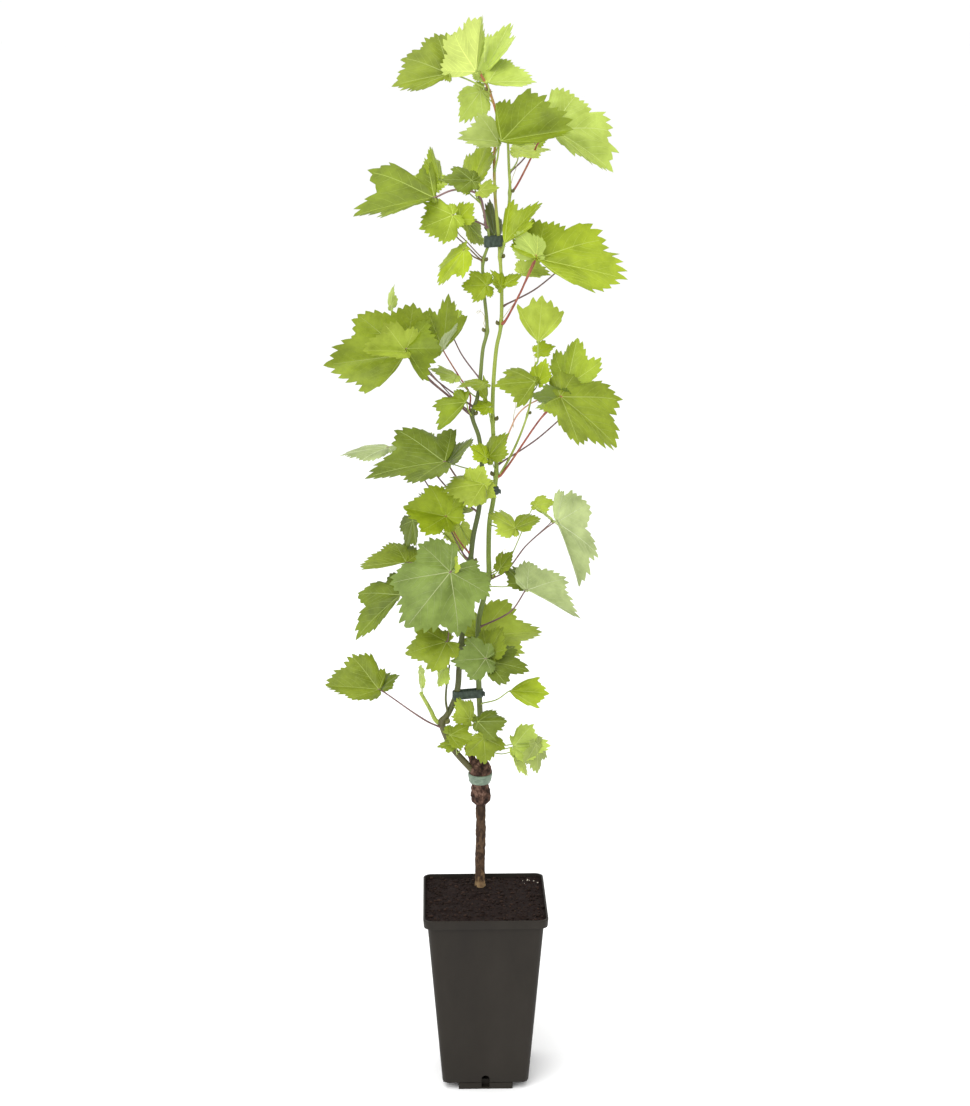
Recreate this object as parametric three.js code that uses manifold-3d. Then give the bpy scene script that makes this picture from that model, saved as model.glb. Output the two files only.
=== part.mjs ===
// A young grafted grapevine with two shoots, standing in a deep square nursery pot.
// Millimetres, +Z up, -Y towards the viewer. The origin is the centre of the pot's flat underside.

import Module from 'manifold-3d';
import * as THREE from 'three';
import { mergeVertices } from 'three/addons/utils/BufferGeometryUtils.js';

const wasm = await Module();
wasm.setup();

// ---- Driving dimensions -------------------------------------------------------------------------

const GAP = 0.3; // clearance between touching pieces
const PAST = 1; // a cutter runs this far past the face that it opens
const VIEWER = new THREE.Vector3(0, -1, 0);

const POT = {
  height: 200,
  rimHalf: 65,
  rimDraft: 0.6, // the rim is this much narrower at its lower edge, on each side
  rimHeight: 9.5,
  topHalf: 60.5, // wall under the rim
  footHalf: 45.5, // wall at the raised corners
  corner: 8, // radius of the upright edges
  wall: 1.6,
  floor: 8,
  cornerLift: 6, // the four corners stand clear of the ground
  footWidth: 57, // width of the cross-shaped foot's arms
  slotWidth: 11,
  slotHeight: 16,
  slotDepth: 7,
};

const SOIL = {
  top: 196,
  relief: 2.2, // height of the surface's humps
  humps: [0.11, 0.13], // how fast they follow each other in x and y
  cells: 5,
  stemClear: 24, // radius of the level patch round the stem
  cornerDraw: 0.05, // the corners are drawn in by this share, clear of the pot's round ones
};

// Axis points run from foot to tip, and radii are given at the two ends.
const ROOTSTOCK = {
  points: [[-4, 36, 196.3], [-4, 35.6, 205], [-3.4, 35, 250], [-3, 34, 291]],
  foot: 5.3,
  tip: 5.2,
  flare: 1.2,
  flareHeight: 8,
};

const GRAFT = {
  points: [[-3, 34, 291.3], [-3.2, 33.5, 303], [-4, 33, 318], [-3, 32, 343]],
  // height above the graft's foot, radius
  profile: [
    [0, 6], [4, 9.4], [11, 10.8], [18, 9.6], [22, 8.6],
    [27, 10.4], [35, 12], [42, 11.4], [47, 9.5], [52, 6],
  ],
  spur: [[-9, 31, 334], [-13, 30.5, 346], [-17.5, 30, 358]],
  spurRadius: 3.9,
};

const LEFT_SHOOT = {
  points: [
    [-12, 30, 331], [-33, 28, 357], [-42, 27, 376], [-44, 26, 386], [-38, 26, 395], [-30, 26, 413],
    [-27, 25, 428], [-26, 25, 445], [-22, 24, 489], [-16, 24, 538], [-11, 24, 587], [-5, 24, 617],
    [-2, 23, 661], [-5, 23, 691], [-12, 22, 715], [-7, 22, 731], [-4, 22, 750], [-1, 22, 782],
    [3, 22, 800], [0, 22, 841], [-1, 22, 869], [5, 22, 891], [0, 22, 919], [-6, 22, 936],
  ],
  foot: 3.5,
  tip: 1.3,
};

const RIGHT_SHOOT = {
  points: [
    [1, 31, 334], [0, 32, 355], [-3, 32, 380], [-5, 32, 420], [-6, 32, 460], [-5, 32, 497], [0, 32, 519],
    [5, 32, 542], [5, 32, 568], [6, 32, 601], [10, 32, 625], [13, 32, 661], [10, 32, 689], [9, 32, 715],
    [10, 32, 748], [13, 32, 782], [17, 32, 802], [18, 31, 841], [15, 31, 891], [11, 30, 940], [11, 30, 980],
    [14, 30, 996], [13, 30, 1012], [5, 29, 1037], [-4, 28, 1054],
  ],
  foot: 3.2,
  tip: 1.2,
};

const SIDE_SHOOT = {
  points: [[17, 31, 874], [21, 31, 892], [26, 31, 937], [25, 31, 962], [24, 30, 985]],
  foot: 1.9,
  tip: 1.2,
};

const STUB = {
  points: [[-44, 26, 383], [-51, 26, 389], [-56, 25, 400], [-66, 24, 419]],
  foot: 2.5,
  tip: 1.9,
};

const TIE_THICKNESS = 1;
const LOW_TIE = { bottom: 412, height: 9, radius: 3.3, ends: [[-28.8, 25.6], [-5, 32]] };
const MIDDLE_TIE = { bottom: 630, height: 8, radius: 3.1, ends: [[10.4, 32], [11.4, 32]] };
const HIGH_TIE = { bottom: 884, height: 11, radius: 3, ends: [[4, 22], [15.2, 31]] };
const TAPE = { bottom: 317, top: 328, thickness: 1.2 };

// A blade's outline: how deep the bays between lobes are, how far the lobes spread from the
// midrib in degrees, the size of the rear lobes on the upper and the lower side, and the angle
// at which the blade ends.
const OUTLINES = {
  broad: { bays: 0.27, spread: 50, rearUpper: 0.9, rearLower: 0.8, end: 180 },
  full: { bays: 0.22, spread: 50, rearUpper: 1, rearLower: 1.05, end: 180 },
  cut: { bays: 0.38, spread: 50, rearUpper: 0.95, rearLower: 0.6, end: 180 },
  half: { bays: 0.28, spread: 50, rearUpper: 1, rearLower: 0.2, end: 180 },
  swept: { bays: 0.28, spread: 43, rearUpper: 0.9, rearLower: 0.3, end: 180 },
  wing: { bays: 0.24, spread: 46, rearUpper: 0.4, rearLower: 0.3, end: 150 },
  slim: { bays: 0.3, spread: 50, rearUpper: 0.5, rearLower: 0.5, end: 180 },
  wedge: { bays: 0.1, spread: 34, rearUpper: 0, rearLower: 0, end: 50 },
};
// The lobes from the midrib's outwards: reach as a share of the blade's length, and half width in
// degrees. The first and second widen with the spread, and the last is the rear lobe.
const LOBES = [
  { reach: 1, half: 0.55, turn: 0 },
  { reach: 0.88, half: 0.5, turn: 0 },
  { reach: 0.64, half: 28, turn: 53 },
  { reach: 0.42, half: 26, turn: 98 },
];
const LOBE_FADE = [2.3, 1.2]; // a lobe ends this many half widths out, over this many
const HEART = 24; // degrees over which a blade draws in to its stalk
const LEAST_REACH = 0.04;
const DROOP = 0.05; // how far a blade's tip hangs, as a share of its length
const BLADE_WIDTH = 0.9; // across, as a share of a flat blade's own
const BLADE_THICKNESS = 2.4; // a thin pad, thicker than the leaf
const SMALL_BLADE = 30; // blades under this length have a plainer rim
const BLADE_MIDDLE = 0.2; // where a pad's facets meet, as a share of its length
const STALK_RADIUS = 1.4;
const SMALL_STALK_RADIUS = 1.1;
const STALK_RISE = 0.03; // a stalk's middle rises by this share of its length
const BUD_RADIUS = 2.2;
const SEAT = 0.76; // a bud sits this near its shoot's axis, as a share of the shoot's radius

// Each mass of leaves: the shoot and height that it grows from, and its blades. A blade is its
// outline, the end of its stalk (right, back, up), the midrib's aim in the front view in degrees
// from rightwards, its lean towards the viewer, its roll about the midrib (0 faces the viewer,
// 180 shows the underside), the fold along the midrib, its length, and its width where special.
const MASSES = [
  ['leaves_tip', 'right', 1060, [
    ['half', -8, 20, 1056, 85, 0, 140, 40, 51],
    ['slim', 1, 40, 1052, 60, -15, 70, 5, 56],
  ]],
  ['leaves_tip_left', 'right', 1044, [
    ['broad', -36, 20, 1051, 188, 5, 40, 38, 51, 1.2],
    ['broad', -3, 44, 1035, 205, 0, 40, -10, 26],
  ]],
  ['leaves_tip_right', 'right', 1034, [['half', 8, 18, 1042, 358, 12, 52, 33, 42]]],
  ['leaves_high_left', 'right', 984, [['wing', 6, 8, 987, 170, 10, 42, 40, 42]]],
  ['leaves_high_right', 'right', 972, [['wing', 19, -4, 989, 20, 20, 42, 22, 72]]],
  ['leaves_high_outer', 'side', 935, [
    ['swept', 73, 24, 998, 350, 15, 25, 0, 60],
    ['broad', 52, 66, 982, 60, -56, 60, 10, 50],
  ]],
  ['leaves_side_tip', 'side', 981, [['slim', 33, 30, 976, 5, 0, 70, 0, 30]]],
  ['leaves_left_high', 'left', 928, [
    ['swept', -49, 2, 935, 185, 5, 58, 26, 79],
    ['slim', -45, 32, 949, 105, -10, 70, -5, 32],
    ['broad', -60, 66, 940, 150, -58, 60, 12, 52],
  ]],
  ['leaves_high_inner', 'left', 935, [
    ['slim', -9, 45, 946, 76, -15, 68, 5, 44],
    ['broad', -14, 22, 949, 170, 10, 55, 5, 30],
  ]],
  ['leaves_left_bright', 'left', 874, [['broad', -28, 0, 919, 190, 20, 25, -5, 35]]],
  ['leaves_upper_dark', 'right', 901, [
    ['slim', 11, 50, 894, 95, -20, 65, 0, 33],
    ['broad', -14, 50, 904, 310, -15, 60, 0, 26],
  ]],
  ['leaves_left_upper', 'left', 846, [['slim', -17, 0, 884, 235, 15, 62, -5, 43]]],
  ['leaves_right_upper', 'right', 806, [
    ['swept', 51, -10, 876, 350, 10, 52, 10, 84],
    ['slim', 50, -6, 877, 130, 0, 140, -5, 29],
    ['broad', 85, 66, 862, 28, -58, 60, 12, 52],
  ]],
  ['leaves_right_knot', 'right', 862, [
    ['half', 20, 10, 891, 50, 5, 70, 15, 57],
    ['half', 36, 25, 855, 2, 0, 45, 40, 30],
  ]],
  ['leaves_left_middle', 'left', 718, [
    ['half', -80, 25, 776, 190, 0, 25, 25, 76],
    ['broad', -77, -6, 787, 5, 20, 18, -20, 34, 1.3],
    ['half', -79, -6, 785, 175, 20, 45, 42, 43],
    ['broad', -84, 68, 780, 150, -58, 60, 12, 54],
  ]],
  ['leaves_middle_inner', 'left', 722, [
    ['wing', -41, 30, 781, 85, -5, 38, -15, 53, 1],
    ['slim', -42, 12, 783, 65, 0, 110, 5, 29],
    ['broad', -38, 70, 800, 180, -58, 60, 12, 42],
  ]],
  ['leaves_middle_bright', 'left', 738, [
    ['broad', -19, 0, 732, 200, 15, 50, -10, 34],
    ['slim', -29, 20, 755, 160, 10, 74, 0, 27],
  ]],
  ['leaves_right_fan', 'right', 650, [
    ['wedge', 54, 10, 791, 86, 0, 5, 0, 42, 1],
    ['broad', 50, -8, 754, 180, 15, 52, -5, 41],
  ]],
  ['leaves_right_middle', 'right', 672, [
    ['broad', 84, 28, 743, 80, -10, 25, -24, 49, 1.15],
    ['slim', 7, 17, 674, 57, 5, 58, 0, 29],
    ['broad', 98, 66, 722, 175, -58, 60, 12, 54],
  ]],
  ['leaves_right_lower', 'right', 640, [
    ['broad', 76, -5, 736, 325, 15, 45, 5, 75],
    ['broad', 75, 10, 735, 170, -8, 125, 10, 32],
  ]],
  ['leaves_left_dark', 'left', 606, [
    ['cut', -40, 0, 671, 185, 10, 64, 24, 78],
    ['broad', -64, 68, 660, 180, -58, 60, 12, 54],
  ]],
  ['leaves_left_strip', 'left', 562, [['slim', -98, 36, 675, 186, 0, 84, 0, 45]]],
  ['leaves_inner_dark', 'left', 655, [['slim', -33, 24, 668, 46, 0, 78, 5, 32]]],
  ['leaves_centre_bright', 'left', 636, [['broad', -2, -12, 645, 181, 20, 62, -10, 41]]],
  ['leaves_left_green', 'left', 572, [
    ['broad', -39, 15, 611, 166, 5, 30, 28, 44, 1],
    ['broad', -42, 68, 598, 30, -58, 60, 12, 52],
  ]],
  ['leaves_centre_big', 'left', 550, [['full', -35, -30, 564, 243, 30, 26, 26, 63, 1.45]]],
  ['leaves_left_behind', 'left', 540, [
    ['half', -84, 26, 567, 195, 5, 78, 0, 48],
    ['slim', -72, 46, 600, 256, -10, 60, 5, 33],
  ]],
  ['leaves_left_low', 'left', 506, [
    ['cut', -83, 20, 524, 216, 10, 62, 25, 62],
    ['broad', -70, 66, 538, 150, -58, 60, 12, 54],
  ]],
  ['leaves_low_bright', 'left', 497, [
    ['broad', -39, -10, 485, 195, 15, 40, -5, 46],
    ['broad', -45, 72, 503, 32, -60, 60, 12, 56],
  ]],
  ['leaves_stub', 'stub', 415, [['slim', -66, 14, 447, 265, 0, 72, 0, 21]]],
  ['leaves_lower_left', 'left', 381, [
    ['cut', -109, 0, 431, 170, 5, 48, 30, 56],
    ['half', -106, 6, 430, 40, 0, 68, 10, 23],
  ]],
  ['leaves_right_blue', 'right', 544, [
    ['half', 71, 0, 608, 296, 10, 62, 22, 70],
    ['slim', 50, 16, 622, 10, 0, 60, 5, 22],
  ]],
  ['leaves_moustache', 'right', 596, [
    ['slim', 30, 0, 602, 146, 10, 65, -4, 30],
    ['slim', 32, 0, 602, 26, 10, 65, 2, 28],
  ]],
  ['leaves_right_pale', 'right', 508, [
    ['half', 44, 10, 534, 336, 5, 68, 24, 58],
    ['broad', 38, 24, 540, 136, 5, 60, 0, 24],
  ]],
  ['leaves_low_right', 'right', 472, [['cut', -3, 47, 477, 5, -5, 58, 15, 66]]],
  ['leaves_low_centre', 'right', 446, [
    ['broad', 0, -12, 467, 181, 10, 20, 20, 34, 1],
    ['cut', 4, 2, 460, 355, 10, 48, 5, 43],
    ['broad', 5, 10, 468, 65, 5, 45, 10, 31],
    ['wedge', 29, 5, 427, 0, 5, 40, 0, 38, 1],
  ]],
  ['leaves_graft_left', 'left', 354, [
    ['broad', -36, -10, 384, 326, 10, 68, 10, 40],
    ['broad', -12, 8, 392, 120, 0, 45, -5, 25],
  ]],
  ['leaves_graft_middle', 'right', 372, [['broad', -7, -5, 397, 5, 10, 45, -22, 30]]],
  ['leaves_graft_right', 'right', 355, [
    ['broad', 29, 10, 367, 5, 5, 45, 22, 37],
    ['broad', 51, 0, 371, 276, 10, 50, -5, 30],
    ['slim', 29, 6, 359, 296, 0, 74, 0, 28],
  ]],
];

const COLOURS = {
  pot: 0x3e3a35,
  soil: 0x261a16,
  rootstock: 0x6b5040,
  graft: 0x4e3a34,
  leftShoot: 0x5a6030,
  rightShoot: 0x9aa648,
  tape: 0x82997f,
  tie: 0x3f4a42,
  leaves: 0x82a044,
};

// ---- Solids -------------------------------------------------------------------------------------

function solidOf(geometry) {
  const bare = geometry.clone();
  bare.deleteAttribute('normal');
  bare.deleteAttribute('uv');
  const merged = mergeVertices(bare, 1e-4);
  return new wasm.Manifold(new wasm.Mesh({
    numProp: 3,
    vertProperties: new Float32Array(merged.attributes.position.array),
    triVerts: new Uint32Array(merged.index.array),
  }));
}

function joined(solids) {
  return solids.reduce((whole, solid) => whole.add(solid));
}

function cutBy(solid, tools) {
  return tools.reduce((rest, tool) => rest.subtract(tool), solid);
}

// The biggest piece of a solid, without the crumbs that a cut leaves.
function biggest(solid) {
  return solid.decompose().reduce((best, piece) => (piece.volume() > best.volume() ? piece : best));
}

function meshOf(name, solid, colour, roughness = 0.7) {
  const { numProp, vertProperties, triVerts } = solid.getMesh();
  const geometry = new THREE.BufferGeometry();
  const positions = new Float32Array((vertProperties.length / numProp) * 3);
  for (let vertex = 0; vertex < positions.length / 3; vertex += 1) {
    for (let axis = 0; axis < 3; axis += 1) {
      positions[vertex * 3 + axis] = vertProperties[vertex * numProp + axis];
    }
  }
  geometry.setAttribute('position', new THREE.BufferAttribute(positions, 3));
  geometry.setIndex(new THREE.BufferAttribute(new Uint32Array(triVerts), 1));
  geometry.computeVertexNormals();
  const material = new THREE.MeshStandardMaterial({ color: colour, roughness, metalness: 0 });
  const mesh = new THREE.Mesh(geometry, material);
  mesh.name = name;
  return mesh;
}

function reshape(geometry, place) {
  const position = geometry.attributes.position;
  const point = new THREE.Vector3();
  for (let i = 0; i < position.count; i += 1) {
    point.fromBufferAttribute(position, i);
    place(point);
    position.setXYZ(i, point.x, point.y, point.z);
  }
  return geometry;
}

function block(x0, x1, y0, y1, z0, z1) {
  const geometry = new THREE.BoxGeometry(x1 - x0, y1 - y0, z1 - z0);
  return solidOf(geometry.translate((x0 + x1) / 2, (y0 + y1) / 2, (z0 + z1) / 2));
}

// ---- Pot and soil -------------------------------------------------------------------------------

function roundedSquare(half, corner) {
  const inner = half - corner;
  const shape = new THREE.Shape();
  shape.absarc(inner, inner, corner, 0, Math.PI / 2);
  shape.absarc(-inner, inner, corner, Math.PI / 2, Math.PI);
  shape.absarc(-inner, -inner, corner, Math.PI, Math.PI * 1.5);
  shape.absarc(inner, -inner, corner, Math.PI * 1.5, Math.PI * 2);
  return shape;
}

// A square block with round upright edges, whose half width runs straight from one to the other.
function taperedBlock(lowHalf, highHalf, bottom, top, corner) {
  const height = top - bottom;
  const geometry = new THREE.ExtrudeGeometry(roundedSquare(highHalf, corner), {
    depth: height,
    bevelEnabled: false,
    curveSegments: 2,
  });
  reshape(geometry, (point) => {
    const scale = (lowHalf + ((highHalf - lowHalf) * point.z) / height) / highHalf;
    point.set(point.x * scale, point.y * scale, point.z + bottom);
  });
  return solidOf(geometry);
}

function wallHalfAt(height) {
  const share = (height - POT.cornerLift) / (POT.height - POT.rimHeight - POT.cornerLift);
  return POT.footHalf + (POT.topHalf - POT.footHalf) * share;
}

function innerHalfAt(height) {
  return wallHalfAt(height) - POT.wall;
}

function drainSlots() {
  const outside = POT.topHalf;
  const deep = POT.footHalf - POT.slotDepth;
  const half = POT.slotWidth / 2;
  const slot = block(-half, half, -outside, -deep, -PAST, POT.slotHeight);
  return [0, 90, 180, 270].map((angle) => slot.rotate([0, 0, angle]));
}

function pot() {
  const rimBottom = POT.height - POT.rimHeight;
  const arm = POT.footWidth / 2;
  const reach = wallHalfAt(0);
  const outside = joined([
    taperedBlock(POT.footHalf, POT.topHalf, POT.cornerLift, rimBottom, POT.corner),
    taperedBlock(POT.rimHalf - POT.rimDraft, POT.rimHalf, rimBottom, POT.height, POT.corner),
    block(-arm, arm, -reach, reach, 0, POT.cornerLift),
    block(-reach, reach, -arm, arm, 0, POT.cornerLift),
  ]);
  const over = POT.height + PAST;
  const inside = taperedBlock(innerHalfAt(POT.floor), innerHalfAt(over), POT.floor, over, POT.corner);
  return cutBy(outside, [inside, ...drainSlots()]);
}

function soil() {
  const bottom = POT.floor + GAP;
  const height = SOIL.top - bottom;
  const side = innerHalfAt(SOIL.top) - GAP;
  const [stemX, stemY] = ROOTSTOCK.points[0];
  const cells = SOIL.cells;
  const geometry = new THREE.BoxGeometry(2, 2, height, cells, cells, 1);
  reshape(geometry, (point) => {
    const isTop = point.z > 0;
    const half = isTop ? side : innerHalfAt(bottom) - GAP;
    const roundness = 1 - SOIL.cornerDraw * Math.abs(point.x * point.y) ** 3;
    const x = point.x * half * roundness;
    const y = point.y * half * roundness;
    const fromStem = Math.hypot(x - stemX, y - stemY);
    const away = Math.min(1, Math.max(0, fromStem / SOIL.stemClear - 1));
    const edge = 1 - Math.max(Math.abs(point.x), Math.abs(point.y)) ** 6;
    const hump = (1 + Math.sin(x * SOIL.humps[0]) * Math.cos(y * SOIL.humps[1])) / 2;
    point.set(x, y, isTop ? SOIL.top + SOIL.relief * away * edge * hump : bottom);
  });
  return solidOf(geometry);
}

// ---- Limbs --------------------------------------------------------------------------------------

function curveThrough(points) {
  return new THREE.CatmullRomCurve3(points.map((p) => new THREE.Vector3(...p)), false, 'centripetal');
}

// A cylinder bent along a stretch of a curve, closed by flat cuts at both ends.
function bentCylinder(curve, from, to, steps, sides, radiusAt) {
  const chord = curve.getPointAt(to).sub(curve.getPointAt(from)).normalize();
  const sideways = Math.abs(chord.y) < 0.8 ? new THREE.Vector3(0, 1, 0) : new THREE.Vector3(1, 0, 0);
  return reshape(new THREE.CylinderGeometry(1, 1, 1, sides, steps), (point) => {
    const along = Math.min(1, from + (to - from) * (point.y + 0.5));
    const centre = curve.getPointAt(along);
    const tangent = curve.getTangentAt(along);
    const normal = sideways.clone().cross(tangent).normalize();
    const binormal = normal.clone().cross(tangent);
    const radius = radiusAt(centre, along);
    normal.multiplyScalar(point.x * radius);
    binormal.multiplyScalar(point.z * radius);
    point.copy(centre).add(normal).add(binormal);
  });
}

function shootRadius({ foot, tip }, along) {
  return foot + (tip - foot) * along;
}

// The share of a curve's length at which it first reaches a height.
function shareAtHeight(curve, height) {
  const samples = 400;
  for (let i = 0; i <= samples; i += 1) {
    if (curve.getPointAt(i / samples).z >= height) return i / samples;
  }
  return 1;
}

// A shoot's lengths between the given heights, each a limb of its own.
function limbs(shoot, splits, stepLength, grow = 0) {
  const curve = curveThrough(shoot.points);
  const total = curve.getLength();
  const cuts = [0, ...splits.map((height) => shareAtHeight(curve, height)), 1];
  return cuts.slice(1).map((to, i) => {
    const from = cuts[i] + (i > 0 ? GAP / total : 0);
    const steps = Math.max(3, Math.round(((to - from) * total) / stepLength));
    const radiusAt = (centre, along) => shootRadius(shoot, along) + grow;
    return solidOf(bentCylinder(curve, from, to, steps, 5, radiusAt));
  });
}

function rootstock(grow = 0) {
  const { foot, tip, flare, flareHeight, points } = ROOTSTOCK;
  const radiusAt = (centre, along) => {
    const above = (centre.z - points[0][2]) / flareHeight;
    return foot + (tip - foot) * along + flare * Math.max(0, 1 - above) + grow;
  };
  return solidOf(bentCylinder(curveThrough(points), 0, 1, 10, 8, radiusAt));
}

function graftRadius(grow) {
  return (centre) => {
    const above = centre.z - GRAFT.points[0][2];
    const after = GRAFT.profile.findIndex(([height]) => height >= above);
    if (after < 0) return GRAFT.profile.at(-1)[1] + grow;
    if (after === 0) return GRAFT.profile[0][1] + grow;
    const [low, lowRadius] = GRAFT.profile[after - 1];
    const [high, highRadius] = GRAFT.profile[after];
    return lowRadius + ((highRadius - lowRadius) * (above - low)) / (high - low) + grow;
  };
}

// The swollen union with the head above it and the short dead spur on the head.
function graft(grow = 0) {
  const head = solidOf(bentCylinder(curveThrough(GRAFT.points), 0, 1, 10, 8, graftRadius(grow)));
  const spurRadius = () => GRAFT.spurRadius + grow;
  return head.add(solidOf(bentCylinder(curveThrough(GRAFT.spur), 0, 1, 2, 6, spurRadius)));
}

function tape() {
  const curve = curveThrough(GRAFT.points);
  const low = shareAtHeight(curve, TAPE.bottom);
  const high = shareAtHeight(curve, TAPE.top);
  const wound = bentCylinder(curve, low, high, 1, 10, graftRadius(GAP + TAPE.thickness));
  return solidOf(wound).subtract(graft(GAP));
}

// An upright block whose plan is a long hole round two upright lines.
function loopBlock([[x0, y0], [x1, y1]], radius, bottom, top) {
  const turn = Math.atan2(y1 - y0, x1 - x0);
  const shape = new THREE.Shape();
  shape.absarc(x0, y0, radius, turn + Math.PI / 2, turn + Math.PI * 1.5);
  shape.absarc(x1, y1, radius, turn - Math.PI / 2, turn + Math.PI / 2);
  const options = { depth: top - bottom, bevelEnabled: false, curveSegments: 3 };
  return solidOf(new THREE.ExtrudeGeometry(shape, options).translate(0, 0, bottom));
}

// A flat band looped round the shoots.
function tie({ bottom, height, radius, ends }) {
  const top = bottom + height;
  return loopBlock(ends, radius + TIE_THICKNESS, bottom, top)
    .subtract(loopBlock(ends, radius, bottom - PAST, top + PAST));
}

// The room that a tie takes, which leaves keep out of.
function tieRoom({ bottom, height, radius, ends }) {
  return loopBlock(ends, radius + TIE_THICKNESS + GAP, bottom - GAP, bottom + height + GAP);
}

// ---- Masses of leaves ---------------------------------------------------------------------------

const radians = THREE.MathUtils.degToRad;

// A blade's reach from the end of its stalk, as a share of its length, at an angle off the midrib.
function bladeReach(angle, { bays, spread, end }, rear) {
  const [fadeEnd, fadeLength] = LOBE_FADE;
  const reaches = LOBES.map(({ reach, half, turn }, i) => {
    const centre = i === 0 ? 0 : spread + turn;
    const off = Math.abs(angle - centre) / (turn === 0 ? half * spread : half);
    const fade = THREE.MathUtils.clamp((fadeEnd - off) / fadeLength, 0, 1);
    return reach * (turn === 0 ? 1 : rear) * (1 - bays * Math.min(off, fadeEnd) ** 0.85) * fade;
  });
  const heart = THREE.MathUtils.clamp((end - angle) / HEART, 0, 1);
  return Math.max(LEAST_REACH, Math.max(...reaches) * heart);
}

// The angles off the midrib where the rim's corners lie: the lobes' tips and, on a large blade,
// the bays beside its middle lobe.
function rimAngles(spread, isSmall) {
  const tips = LOBES.slice(1).map(({ turn }) => spread + turn);
  const half = isSmall ? tips : [spread / 2, ...tips];
  return [0, ...half, 180, ...half.map((angle) => -angle).reverse()];
}

// The midrib's direction, the way across the blade, its face, and which side lies upwards.
function bladeAxes(aim, lean, roll) {
  const inView = new THREE.Vector3(Math.cos(radians(aim)), 0, Math.sin(radians(aim)));
  const midrib = inView.clone().multiplyScalar(Math.cos(radians(lean)));
  midrib.addScaledVector(VIEWER, Math.sin(radians(lean)));
  const facing = VIEWER.clone().multiplyScalar(Math.cos(radians(lean)));
  facing.addScaledVector(inView, -Math.sin(radians(lean)));
  const pointsRight = Math.cos(radians(aim)) >= 0 ? 1 : -1;
  const upwards = new THREE.Vector3(-inView.z * pointsRight, 0, inView.x * pointsRight);
  const face = facing.multiplyScalar(Math.cos(radians(roll)));
  face.addScaledVector(upwards, Math.sin(radians(roll)));
  const across = face.clone().cross(midrib);
  const upperSide = pointsRight * (Math.cos(radians(roll)) < 0 ? -1 : 1);
  return { midrib, across, face, upperSide };
}

// One blade as a thin folded pad: a round plate drawn out to the leaf's outline.
function blade(row, grow) {
  const [kind, x, y, z, aim, lean, roll, fold, length, width = BLADE_WIDTH] = row;
  const outline = OUTLINES[kind];
  const { midrib, across, face, upperSide } = bladeAxes(aim, lean, roll);
  const angles = rimAngles(outline.spread, length < SMALL_BLADE);
  const stalkEnd = new THREE.Vector3(x, y, z);
  const thickness = BLADE_THICKNESS + 2 * grow;
  const plate = new THREE.CylinderGeometry(1, 1, thickness, angles.length, 1);
  return solidOf(reshape(plate, (point) => {
    const share = Math.atan2(point.x, point.z) / (2 * Math.PI) + 1;
    const angle = angles[Math.round(share * angles.length) % angles.length];
    const isRim = Math.hypot(point.x, point.z) > 0.5;
    const rear = angle * upperSide >= 0 ? outline.rearUpper : outline.rearLower;
    const reach = bladeReach(Math.abs(angle), outline, rear) + grow / length;
    const along = isRim ? reach * Math.cos(radians(angle)) : BLADE_MIDDLE;
    const aside = isRim ? reach * Math.sin(radians(angle)) * width : 0;
    const hang = DROOP * (along * Math.abs(along) + aside ** 2);
    const lift = Math.abs(aside) * Math.sin(radians(fold)) - hang;
    const height = lift * length + point.y;
    point.copy(stalkEnd).addScaledVector(midrib, along * length);
    point.addScaledVector(across, aside * Math.cos(radians(fold)) * length);
    point.addScaledVector(face, height);
  }));
}

const SHOOTS = { left: LEFT_SHOOT, right: RIGHT_SHOOT, side: SIDE_SHOOT, stub: STUB };

// Where a mass's stalks part from its shoot: a bud beside the shoot, on the side of its leaves,
// or beyond the shoot's tip.
function budOf([, shootName, height, blades]) {
  const shoot = SHOOTS[shootName];
  const curve = curveThrough(shoot.points);
  const along = shareAtHeight(curve, height);
  const axis = curve.getPointAt(along);
  if (along === 1) {
    const outwards = curve.getTangentAt(1);
    return { outwards, place: axis.addScaledVector(outwards, GAP + BUD_RADIUS) };
  }
  const outwards = new THREE.Vector3();
  blades.forEach(([, x, y]) => outwards.add(new THREE.Vector3(x - axis.x, y - axis.y, 0)));
  outwards.normalize();
  const clear = SEAT * shootRadius(shoot, along) + GAP + BUD_RADIUS;
  return { outwards, place: axis.addScaledVector(outwards, clear) };
}

function stalks(mass, grow) {
  const { place: bud, outwards } = budOf(mass);
  const ball = new THREE.OctahedronGeometry(BUD_RADIUS + grow, 0).lookAt(outwards);
  ball.translate(bud.x, bud.y, bud.z);
  const runs = mass[3].map(([, x, y, z, , , , , length]) => {
    const end = new THREE.Vector3(x, y, z);
    const middle = bud.clone().lerp(end, 0.5);
    middle.z += bud.distanceTo(end) * STALK_RISE;
    const isSmall = length < SMALL_BLADE;
    const radius = () => (isSmall ? SMALL_STALK_RADIUS : STALK_RADIUS) + grow;
    const run = new THREE.QuadraticBezierCurve3(bud, middle, end);
    return solidOf(bentCylinder(run, 0, 1, isSmall ? 1 : 2, 3, radius));
  });
  return joined([solidOf(ball), ...runs]);
}

function overlaps(a, b) {
  const [boxA, boxB] = [a.boundingBox(), b.boundingBox()];
  return [0, 1, 2].every((i) => boxA.min[i] < boxB.max[i] && boxB.min[i] < boxA.max[i]);
}

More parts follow.
